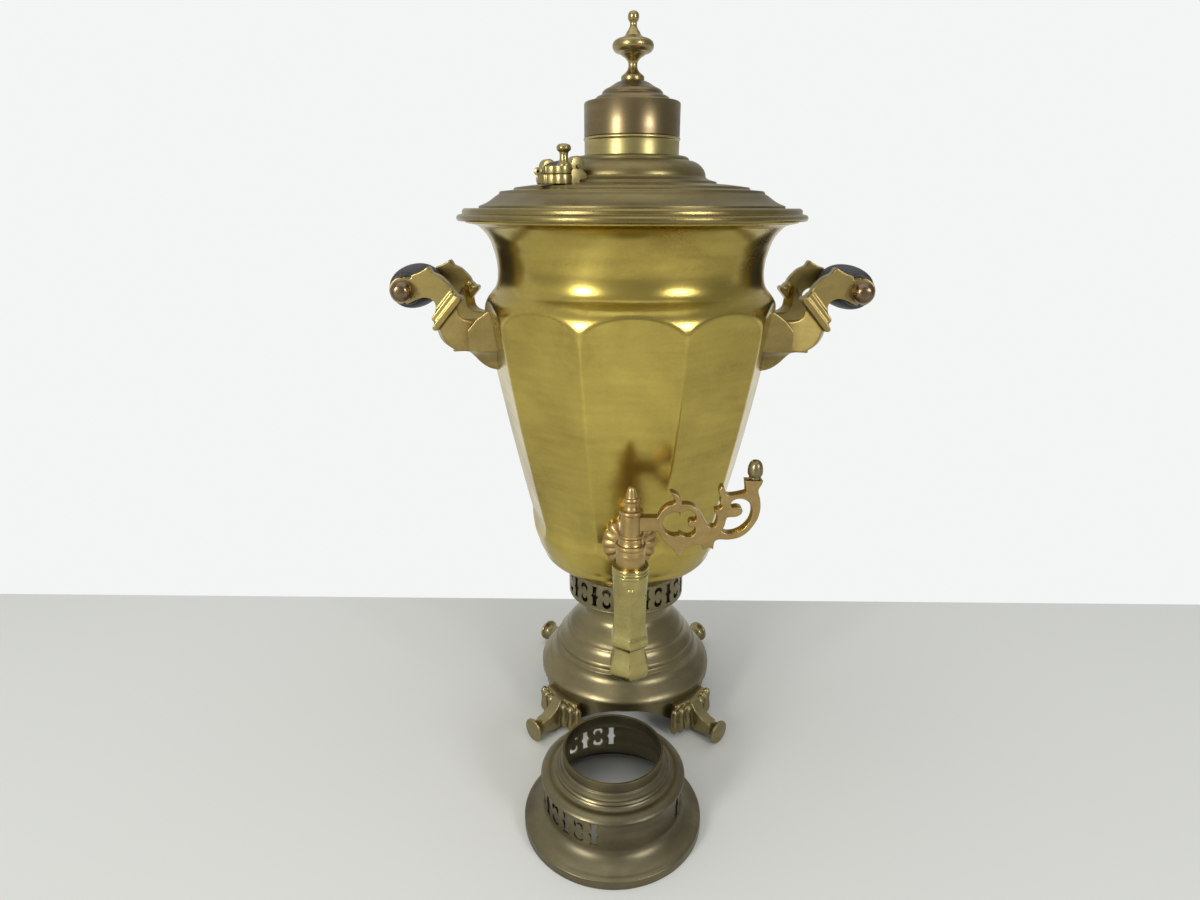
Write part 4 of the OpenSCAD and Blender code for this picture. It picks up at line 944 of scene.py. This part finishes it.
bpy.data.objects.remove(plate)
bpy.data.objects.remove(horn)

# ---------------------------------------------------------------------------
# Tap, fixed part: a ribbed shell plate on the urn, the barrel on its level tube, and
# the six-sided spout. A leather washer and a nut inside the urn draw it tight.
# ---------------------------------------------------------------------------
tap_brass = old_brass(
    "tap_brass", clean=(0.48, 0.34, 0.135), tarnished=(0.27, 0.175, 0.07),
    amount=0.4, cloud=40.0, rubbing=0.2, smooth=0.3, dull=0.44, bump=0.06,
)
tap_y, tap_z = 120, 182
ribs, rib_deep = 16, 1.3
shell_front_y = -87
shell_z = tap_z - 2.4
around = ribs * 10
profile = [(4, 0.1), (7, 0.1), (9, 0.2), (11.5, 0.4), (14, 1.1), (16, 2.0), (17.6, 2.8), (18.8, 3.8),
           (19.5, 5.0)]
points, faces = [], []
for j, (r, back) in enumerate(profile):
    share = max(0, (r - 8) / 11.5)
    for k in range(around):
        turn = 2 * math.pi * k / around
        rib = abs(math.cos(turn * ribs / 2))
        out = r * (1 - 0.045 * share * (1 - rib))
        points.append((
            out * math.cos(turn), shell_front_y + back + rib_deep * share * (1 - rib),
            shell_z + 1.04 * out * math.sin(turn),
        ))
for k in range(around):
    x, y, z = points[(len(profile) - 1) * around + k]
    points.append((x, -side_r(min(max(z, 176), 199)) + 0.7, z))
rows = len(profile) + 1
for j in range(rows - 1):
    for k in range(around):
        n = (k + 1) % around
        faces.append((j * around + k, j * around + n, (j + 1) * around + n, (j + 1) * around + k))
faces.append(tuple(range(around)))
faces.append(tuple(range(rows * around - 1, (rows - 1) * around - 1, -1)))
rosette = laid_out("ribbed_shell_plate", points, faces)
fit(rosette, tap_brass, "tap_brass", "samovar", "tap_rosette", crease=30)

barrel_line = [
    (9.8, 154), (9.8, 190), (10.0, 190.4), (10.0, 191.2), (9.8, 191.6), (9.8, 194.6), (10.4, 195.4),
    (10.4, 197), (9.6, 197.8), (6.25, 197.8), (6.25, 154),
]
tube_line = [(7, -60), (7, -113), (4, -113), (4, -60)]
barrel = laid_out("turned_barrel", *merged([
    lathe(eased(barrel_line, closed=True, finest=9, rounding=0.25), closed=True, segments=120,
          at=(0, -tap_y, 0)),
    lathe(tube_line, closed=True, segments=72, axis="Y", at=(0, 0, tap_z)),
]))
fit(barrel, tap_brass, "tap_brass", "samovar", "tap_barrel")

spout_brass = old_brass(
    "spout_brass", clean=(0.45, 0.385, 0.15), tarnished=(0.25, 0.2, 0.075),
    amount=0.36, cloud=45.0, rubbing=0.2, smooth=0.2, dull=0.36, bump=0.04,
)
flat_line = eased([
    (11.0, 97), (12.3, 98.5), (13.0, 101), (13.1, 104.5), (12.3, 108.5), (11.2, 112.5), (10.6, 116.5),
    (10.55, 120), (11.0, 121.6), (12.3, 122.8), (12.8, 124.6), (12.7, 127), (11.9, 129.8),
    (11.2, 132), (10.9, 136), (10.8, 143), (10.9, 151), (11.1, 159), (11.3, 164), (11.5, 170),
], corner=45)
neck_line = eased([
    (11.7, 160), (11.8, 166), (12, 172), (12, 175.2), (12.5, 175.7), (12.5, 176.4), (11.9, 177.0),
    (11.9, 177.4), (12.5, 178.0), (12.5, 178.8), (11.9, 179.4), (11.9, 179.8), (12.5, 180.4),
    (12.5, 181.2), (12.2, 181.8),
], corner=60, finest=0.3)


def radius_at(line, z):
    """Radius of a rising outline at a height."""
    for (ra, za), (rb, zb) in zip(line, line[1:]):
        if za <= z <= zb and zb > za:
            return ra + (rb - ra) * (z - za) / (zb - za)
    return line[-1][0]


points, ring = [], 0
corner_offs = (0, 0.5, 1.2, 2.2, 4, 7, 11, 16, 22)
spout_offs = [-30 + c for c in corner_offs] + [30 - c for c in reversed(corner_offs[1:])]
for flat in range(6):
    for off_degrees in spout_offs:
        off = math.radians(off_degrees)
        turn = math.radians(-60 + 60 * flat) + off
        front = (math.degrees(turn) + 90) % 120
        arch = 162.0 + 6.2 * math.cos(math.radians(front * 1.5)) ** 2
        heights = [z for r, z in flat_line if z < 150]
        heights += [150 + (arch - 0.5 - 150) * k / 8 for k in range(9)]
        outside = [(sided_r(off, math.radians(30), radius_at(flat_line, z), 0.9), z) for z in heights]
        heights = [arch + 0.5 + (172 - arch - 0.5) * k / 8 for k in range(9)]
        outside += [(radius_at(neck_line, z), z) for z in heights]
        outside += [(r, z) for r, z in neck_line if z > 172.2]
        loop = outside + [(9.85, 181.8), (9.85, 154), (5.2, 153.9), (5.2, 97.4), (5.8, 97)]
        ring = len(loop)
        points += [(r * math.cos(turn), r * math.sin(turn) - tap_y, z) for r, z in loop]
spout = laid_out("sided_spout", *hoop(points, ring))
fit(spout, spout_brass, "bright_brass", "samovar", "tap_spout", crease=32)

leather = bpy.data.materials.new("washer_leather")
leather.use_nodes = True
l_nodes, l_links = leather.node_tree.nodes, leather.node_tree.links
l_cells = l_nodes.new("ShaderNodeTexVoronoi")
l_cells.inputs["Scale"].default_value = 900.0
l_tint = l_nodes.new("ShaderNodeMix")
l_tint.data_type = "RGBA"
l_tint.inputs[6].default_value = (0.06, 0.035, 0.02, 1)
l_tint.inputs[7].default_value = (0.14, 0.085, 0.05, 1)
l_links.new(l_cells.outputs["Distance"], l_tint.inputs[0])
l_links.new(l_tint.outputs[2], l_nodes["Principled BSDF"].inputs["Base Color"])
l_bump = l_nodes.new("ShaderNodeBump")
l_bump.inputs["Strength"].default_value = 0.4
l_bump.inputs["Distance"].default_value = 0.0005
l_links.new(l_cells.outputs["Distance"], l_bump.inputs["Height"])
l_links.new(l_bump.outputs["Normal"], l_nodes["Principled BSDF"].inputs["Normal"])
l_nodes["Principled BSDF"].inputs["Roughness"].default_value = 0.6
for node_name, finish in (("tap_washer", leather), ("tap_nut", worn_brass)):
    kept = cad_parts[node_name]
    kept.data.materials.clear()
    kept.data.materials.append(finish)

# ---------------------------------------------------------------------------
# Tap key: a tapered plug that turns in the barrel, the flat scrolled key cast for its
# square, the turned finial that screws it down, and an acorn knob on the key's end.
# ---------------------------------------------------------------------------
plug_line = [
    (0, 160), (6.2, 160), (6.2, 197.9), (8.9, 197.9), (8.7, 198.6), (8.3, 199.2), (8.3, 202.2),
    (7.6, 203), (4, 203), (4, 224), (0, 224),
]
points, faces = lathe(eased(plug_line, finest=9, rounding=0.25), segments=96, at=(0, -tap_y, 0))
plug = laid_out("tapered_plug", points, faces)
fit(plug, tap_brass, "tap_brass", "tap_key", "tap_plug")


def join_to(piece, *others):
    """Solders other pieces to a piece, as one mesh."""
    work = bmesh.new()
    work.from_mesh(piece.data)
    for other in others:
        work.from_mesh(other.data)
        bpy.data.objects.remove(other)
    work.to_mesh(piece.data)
    work.free()


def flat_plate(name, outlines, thickness, edge, turn, at):
    """A sawn plate with filed edges: the first outline is its rim, the others are holes."""
    curve = bpy.data.curves.new(name, "CURVE")
    curve.dimensions = "2D"
    curve.fill_mode = "BOTH"
    curve.bevel_depth = edge * 0.001
    curve.bevel_resolution = 2
    curve.offset = -edge * 0.001
    curve.extrude = (thickness / 2 - edge) * 0.001
    for outline in outlines:
        line = curve.splines.new("POLY")
        line.points.add(len(outline) - 1)
        for spot, (x, z) in zip(line.points, outline):
            spot.co = (x * 0.001, z * 0.001, 0, 1)
        line.use_cyclic_u = True
    holder = bpy.data.objects.new(name + "_curve", curve)
    bpy.context.scene.collection.objects.link(holder)
    bpy.context.view_layer.update()
    graph = bpy.context.evaluated_depsgraph_get()
    mesh = bpy.data.meshes.new_from_object(holder.evaluated_get(graph))
    bpy.data.objects.remove(holder)
    mesh.transform(turn)
    mesh.transform(Matrix.Translation([c * 0.001 for c in at]))
    work = bmesh.new()
    work.from_mesh(mesh)
    bmesh.ops.remove_doubles(work, verts=work.verts, dist=1e-6)
    bmesh.ops.recalc_face_normals(work, faces=work.faces)
    work.to_mesh(mesh)
    work.free()
    piece = bpy.data.objects.new(name, mesh)
    bpy.context.scene.collection.objects.link(piece)
    return piece


upright = Matrix.Rotation(math.radians(90), 4, "X")
key_rim = [
    (4.4, 217.4), (17, 217.4), (17.6, 218), (19.8, 222.3), (23.9, 225.8), (28, 227.5), (28.4, 229.6),
    (27.2, 232.4), (24.6, 235.4), (27.6, 234.9), (30, 233.2), (31.8, 230.6), (33.2, 226.8),
    (37.7, 226.8), (41.7, 225), (45, 221), (47.5, 216.6), (50.2, 212.3), (52.6, 210.9), (55, 211.4),
    (56.1, 215.7), (55.8, 219.6), (54.4, 221), (54.4, 223), (57.4, 223.9), (58.8, 225.5),
    (57.7, 227.5), (57.6, 229.8), (58, 231.4), (56.6, 234.2), (56.5, 237.6), (57.8, 239.5),
    (59.5, 239.3), (60.2, 236.8), (61.4, 234.2), (64.5, 233.4), (70.9, 234.6), (73.7, 235.4),
    (73.4, 238.6), (72.7, 243.6), (84.2, 243.6), (83.3, 240.8), (81.8, 238), (81.8, 235.5),
    (83, 231.3), (83.7, 226.2), (83.5, 221.9), (82.2, 216.7), (79.3, 211.4), (75.5, 206.8),
    (70.8, 203.7), (64.3, 202.2), (59.4, 202.3), (56.6, 201.9), (55, 199.9), (54.6, 195.2),
    (53.1, 195.8), (51.4, 196.4), (49.4, 195), (47.7, 195.4), (47.0, 197.4), (45.3, 198.5),
    (42.2, 197.2), (39, 196.5), (35.7, 195.7), (34, 192.6), (32.2, 190.2), (30.8, 190.2),
    (29.4, 192.9), (27.2, 195.6), (24.7, 197.4), (21.2, 201.4), (18.5, 205.6), (17.4, 207.6),
    (4.4, 207.6),
]
heart = arc(29, 213, 8.6, 72, 288, 13) + [(31.7, 206.4)] + arc(37.5, 208.8, 4.9, 232, 352, 6)
heart += [
    (42.2, 210.6), (41.4, 211.2), (39.6, 210.8), (38.0, 211.6), (37.4, 213.3), (38.2, 215),
    (39.8, 215.8), (41.6, 215.2), (42.5, 216.2),
]
heart += arc(37, 217.2, 5.6, 6, 126, 6) + [(31.7, 218.4)]
curl = [
    (59.5, 208.5), (61.1, 212.2), (62, 216.6), (62.8, 218), (68.3, 218.6), (71.4, 220.4),
    (72.3, 222.6), (71.4, 224.6), (68.7, 225.4), (65.4, 224.8), (64.4, 227.2), (65.7, 229.8),
    (69.3, 231.2), (73.6, 230.5), (77, 227.5), (78.5, 222.4), (78, 217.5), (76.2, 213.5),
    (72.4, 209.4), (67.7, 207), (62.9, 206.6),
]
key_thick, key_edge = 8, 0.7
key = flat_plate(
    "sawn_key", [eased(key_rim, closed=True, corner=62, finest=0.8, rounding=0.2),
                 eased(heart, closed=True, corner=62, finest=0.8, rounding=0.15),
                 eased(curl, closed=True, corner=70, finest=0.8, rounding=0.15)],
    key_thick, key_edge, upright, (0, -tap_y, 0),
)
hub_line = [(4.05, 203.05), (8.3, 203.05), (8.6, 203.6), (8.6, 204.4), (7.9, 205), (7, 205.4),
            (7, 218.6), (4.05, 218.6)]
points, faces = lathe(eased(hub_line, closed=True, finest=6, rounding=0.2), closed=True, segments=96,
                      at=(0, -tap_y, 0))
hub = laid_out("key_hub", points, faces)
join_to(key, hub)
fit(key, tap_brass, "tap_brass", "tap_key", "tap_branch", crease=38)

finial_line = [
    (4.05, 218.65), (7, 218.65), (8, 219.6), (8, 221.0), (7.4, 221.8), (5.8, 222.2), (4.8, 223.4),
    (4.4, 225), (4.3, 227.4), (4.6, 227.9), (5.3, 228.4), (5.4, 229.4), (5, 230.3), (3.9, 230.6),
    (3.6, 232), (3, 235), (2.4, 237), (1.6, 237.8), (0, 238),
]
screw = laid_out("tap_screw_finial", *lathe(
    eased(finial_line, corner=50, finest=0.5, rounding=0.2), segments=96, at=(0, -tap_y, 0),
))
fit(screw, tap_brass, "tap_brass", "tap_key", "tap_finial")

acorn_x = 79.4
acorn_line = [(0, 243.6), (2.8, 243.6), (3.8, 244.2), (3.9, 245), (3.5, 245.5), (4.2, 246.2),
              (4.8, 247.6), (4.9, 250), (4.6, 252.4), (3.7, 254.8), (2.2, 256.3), (0, 256.9)]
acorn = laid_out("acorn_knob", *lathe(
    eased(acorn_line, corner=60, finest=0.5, rounding=0.2), segments=96, at=(acorn_x, -tap_y, 0),
))
fit(acorn, worn_brass, "worn_brass", "tap_key", "branch_knob")

# ---------------------------------------------------------------------------
# Lid: spun brass in steps up to the hole for the fire tube, dull from the steam and painted
# darker as painted shade against the ceiling lamp's reflection. Its skirt drops into the urn's mouth.
# ---------------------------------------------------------------------------
# The lid's brass colour is darker than the other brass as painted shade, to hold back the ceiling
# lamp's reflection on its top.
lid_brass_with_painted_shade = old_brass(
    "lid_brass_with_painted_shade", clean=(0.24, 0.195, 0.085), tarnished=(0.13, 0.1, 0.042),
    amount=0.4, cloud=14.0, rubbing=0.35, smooth=0.34, dull=0.48, bump=0.05, lines=0.45,
)
lid_hole_r, lid_wall = 35.2, 1.2
lid_line = [
    (lid_hole_r, 444.4), (38.6, 444.4), (40.8, 443.2), (41.2, 441.4), (44.6, 441), (48.4, 439),
    (51.4, 436), (53, 432.6), (53.2, 430.6), (54.6, 429.4), (58, 428.2), (61, 427.4), (61.6, 425.8),
    (72, 425), (84.4, 423.4), (85.2, 421.8), (94.8, 420.8), (95.6, 419), (98, 417.6), (101.6, 415),
    (105, 413), (110, 411), (110, 410.2),
]
curve = eased(lid_line, corner=34, rounding=0.6)
below = [(max(r - lid_wall, lid_hole_r), z - lid_wall) for r, z in curve if r < 102.0]
lid_skirt = [(110, 409), (102.6, 409), (102.6, 399.5), (101.4, 399.5), (101.4, 410.4)]
lid = laid_out("spun_lid", *lathe(curve + lid_skirt + below[::-1], closed=True, segments=280))
fit(lid, lid_brass_with_painted_shade, "worn_brass", "lid", "lid_cover")

# ---------------------------------------------------------------------------
# Lid handle: two lobed brackets sawn from thick brass and soldered to the lid, with a
# small black grip on a rod between them.
# ---------------------------------------------------------------------------
small_x, small_z = 57.6, 435.6
bracket_y, bracket_thick, bracket_edge = 20, 7, 0.8
lobed = arc(0, 437.0, 5.3, -38, 218, 13) + arc(-3.2, 428.6, 4.6, 118, 262, 13)
lobed += arc(3.2, 428.6, 4.6, -82, 62, 13)
handle_turn = Matrix.Rotation(math.radians(212), 4, "Z")
brackets = []
for s in (-1, 1):
    stand = Matrix.Translation((small_x * 0.001, s * bracket_y * 0.001, 0))
    brackets.append(flat_plate(
        "lobed_brackets", [eased(lobed, closed=True, corner=75, finest=0.8, rounding=0.3)],
        bracket_thick, bracket_edge, handle_turn @ stand @ upright, (0, 0, 0),
    ))
join_to(*brackets)
fit(brackets[0], bright_brass, "bright_brass", "lid", "lid_brackets", crease=40)

small_grip = [(0, -16.5), (3.4, -16.5)]
for k in range(61):
    y = -16 + 32 * k / 60
    swell = 3.5 + 1.4 * math.sqrt(max(0, 1 - (y / 16.4) ** 2))
    small_grip.append((swell - 0.35 * (1 - abs(math.cos(math.pi * y / 2.6))), y))
small_grip += [(3.4, 16.5), (0, 16.5)]
wood = laid_out("lid_turned_grip", *lathe(small_grip, segments=64, axis="Y", at=(small_x, 0, small_z)))
wood.data.transform(handle_turn)
fit(wood, black_wood, "black_wood", "lid", "lid_grip", crease=50)
rod_line = [(0, -24.7), (1, -24.7), (1.4, -24.3), (1.4, 24.3), (1, 24.7), (0, 24.7)]
pin = laid_out("lid_handle_rod", *lathe(rod_line, segments=32, axis="Y", at=(small_x, 0, small_z)))
pin.data.transform(handle_turn)
fit(pin, worn_brass, "worn_brass", "lid", "lid_rod")

# ---------------------------------------------------------------------------
# Steam vent: two small brass plates with a round end, hinged on a pin; the upper one
# carries a turned knob and is lifted to let off steam.
# ---------------------------------------------------------------------------
vent_from_axis, vent_direction = 77, math.radians(233)
vent_x, vent_y = vent_from_axis * math.cos(vent_direction), vent_from_axis * math.sin(vent_direction)
hinge_at = (vent_x - 15, vent_y, 431.9)
knuckle_r = 2.6


def vent_outline(inner_end):
    """Round end, waist and squared tail of a vent plate, down to its hinge."""
    line = arc(0, 0, 6.5, -146, 146, 15)
    tail = [(-7.4, 3.1), (-9.6, 3.0), (-11, 3.9)]
    line += [p for p in tail if p[0] > inner_end] + [(inner_end, 4.1), (inner_end, -4.1)]
    line += [(x, -y) for x, y in tail[::-1] if x > inner_end]
    return line


level = Matrix.Identity(4)
lower = flat_plate(
    "vent_lower_plate", [eased(vent_outline(-15.8), closed=True, corner=70, rounding=0.4)], 6.0, 0.5,
    level, (vent_x, vent_y, 427.3),
)
knuckles = []
for s in (-1, 1):
    knuckle = [(0, s * 2.1), (2.2, s * 2.1), (knuckle_r, s * 2.4), (knuckle_r, s * 3.8),
               (2.2, s * 4.1), (0, s * 4.1)]
    knuckles.append(laid_out("knuckle", *lathe(knuckle, segments=48, axis="Y", at=hinge_at)))
join_to(lower, *knuckles)
fit(lower, bright_brass, "bright_brass", "lid", "vent_base", crease=40)
pin_line = [(0, -4.1), (0.8, -4.1), (1, -3.9), (1, 3.9), (0.8, 4.1), (0, 4.1)]
pin = laid_out("hinge_pin", *lathe(pin_line, segments=32, axis="Y", at=hinge_at))
fit(pin, worn_brass, "worn_brass", "lid", "vent_pin")

upper = flat_plate(
    "vent_upper_plate", [eased(vent_outline(-11.2), closed=True, corner=70, rounding=0.4)], 5.0, 0.5,
    level, (vent_x, vent_y, 432.9),
)
knuckle = [(1.05, -1.95), (2.3, -1.95), (knuckle_r, -1.7), (knuckle_r, 1.7), (2.3, 1.95), (1.05, 1.95)]
tongue = [(vent_x - 13.8, 430.7), (vent_x - 10, 430.7), (vent_x - 10, 433.2), (vent_x - 13.8, 433.2)]
join_to(
    upper,
    laid_out("knuckle", *lathe(knuckle, closed=True, segments=48, axis="Y", at=hinge_at)),
    laid_out("tongue", *slab(tongue, vent_y - 1.95, vent_y + 1.95)),
)
fit(upper, bright_brass, "bright_brass", "vent_flap", "vent_flap", crease=40)
knob_line = [
    (0, 435.3), (4.6, 435.3), (4.5, 436.2), (3.4, 437.4), (2.9, 439), (2.7, 441.4), (3, 443.6),
    (4.2, 444.6), (4.7, 445.8), (4.5, 447), (3.6, 448), (2.2, 448.6), (0, 448.8),
]
knob = laid_out("vent_turned_knob", *lathe(
    eased(knob_line, corner=50, finest=0.5), segments=72, at=(vent_x + 1.5, vent_y, 0),
))
finial_brass = old_brass(
    "finial_brass", clean=(0.38, 0.305, 0.135), tarnished=(0.19, 0.145, 0.06),
    amount=0.4, cloud=40.0, rubbing=0.2, smooth=0.24, dull=0.42, bump=0.04,
)
fit(knob, finial_brass, "worn_brass", "vent_flap", "vent_knob")

# ---------------------------------------------------------------------------
# Chimney cap: a spun drum with a stepped top that slips over the fire tube, and a
# turned finial riveted through it.
# ---------------------------------------------------------------------------
cap_brass = old_brass(
    "cap_brass", clean=(0.23, 0.175, 0.09), tarnished=(0.12, 0.09, 0.048),
    amount=0.4, cloud=20.0, rubbing=0.35, smooth=0.26, dull=0.46, bump=0.05, lines=0.4,
)
cap_wall, cap_inner_r = 1.1, 32.75
dome = [(2, 493.6), (8, 493.6), (11.4, 492.4), (14.4, 490.6), (16.8, 489.2), (19.4, 488),
        (21.2, 486.2), (21.6, 484.6), (24.8, 483.4), (26.2, 482.2), (27, 480.7), (31, 480.3),
        (33.3, 479.8), (33.9, 478.9)]
curve = eased(dome, corner=36, rounding=0.4)
under = [(max(r - cap_wall, 2), z - 1.5) for r, z in curve if r < 31.5]
drum = [(33.9, 457.5), (33.6, 457.1), (cap_inner_r, 457.1), (cap_inner_r, 476.5)]
cap = laid_out("spun_cap", *lathe(curve + drum + under[::-1], closed=True, segments=192))
fit(cap, cap_brass, "worn_brass", "cap", "cap_shell")
finial = [
    (0, 487.6), (1.95, 487.6), (1.95, 493.6), (8, 493.6), (8, 496.2), (7.2, 497.2), (5.6, 498.4),
    (3.8, 500.6), (3.1, 503), (3.4, 505.4), (5.4, 508), (8.2, 509.8), (8.8, 510.8), (12, 511.5),
    (13.8, 513.4), (14.2, 515.5), (13.6, 517.6), (11.5, 519.2), (8.5, 520.2), (6, 521.5), (4.4, 524),
    (2.6, 527), (2.4, 529.6), (3.2, 530.6), (3.7, 532), (3.8, 533.6), (3.4, 535.2), (2.2, 536.4),
    (0, 537),
]
tip = laid_out("turned_finial", *lathe(
    eased(finial, corner=50, finest=0.5, rounding=0.3), segments=144,
))
fit(tip, finial_brass, "worn_brass", "cap", "cap_finial")

# ---------------------------------------------------------------------------
# Crown: a spun and pierced ring that goes on the fire tube to carry the teapot. Here it
# stands loose on the table in front of the urn.
# ---------------------------------------------------------------------------
crown_brass = old_brass(
    "crown_brass", clean=(0.21, 0.18, 0.1), tarnished=(0.1, 0.088, 0.06),
    amount=0.42, cloud=18.0, rubbing=0.4, smooth=0.31, dull=0.46, bump=0.05, lines=0.4,
)
crown_line = [
    (34.7, 57.7), (34.7, 50.4), (35.7, 49.8), (35.9, 48.6), (36.4, 47.4), (37.2, 46.8), (38.6, 46.6),
    (39.6, 45.4), (39.6, 44.4), (40.2, 43.4), (42, 42.6), (45, 42.4), (48, 41.2), (49.6, 39.6),
    (49.6, 38.2), (48.2, 37), (48, 17.4), (48.8, 14.6), (50.8, 12), (54, 9.6), (58, 7.6), (60, 7.1),
    (61.7, 6.2), (61.7, 0),
]
crown_inside = [
    (60.6, 0), (60.6, 5.4), (58, 6.3), (53.4, 8.5), (49.8, 11.1), (47.8, 14.2), (46.8, 17.4),
    (46.8, 37), (48, 38.9), (46.8, 40), (44.4, 41.2), (41.4, 41.4), (39, 42.4), (38, 44),
    (36.6, 45.4), (34.6, 46.6), (33, 49.4), (33, 57.7),
]
crown_at = (-11, -150.2)
curve = eased(crown_line + crown_inside, closed=True, corner=38, rounding=0.3)
points, faces = lathe(curve, closed=True, segments=280, at=(*crown_at, 0))
crown = laid_out("pierced_crown", points, faces)
crown_motif_high, crown_motif_step, crown_motif_middle, crown_wall_r = 16.6, 12.4, 28.4, 48
motifs = []
for middle, crescents_at, first, last in ((-154, 1, -2, 2), (-52, 0, -2, 3), (88, 1, -2, 2)):
    for k in range(first, last + 1):
        direction = middle + k * crown_motif_step
        if (k + 2) % 2 == crescents_at:
            motifs += [(direction, crescent(crown_motif_high, half)) for half in (1, -1)]
        else:
            motifs.append((direction, flared_slot(crown_motif_high)))
pierce(crown, motifs, crown_wall_r, crown_motif_middle, at=crown_at)
fit(crown, crown_brass, "worn_brass", "crown", "crown_shell", crease=30)
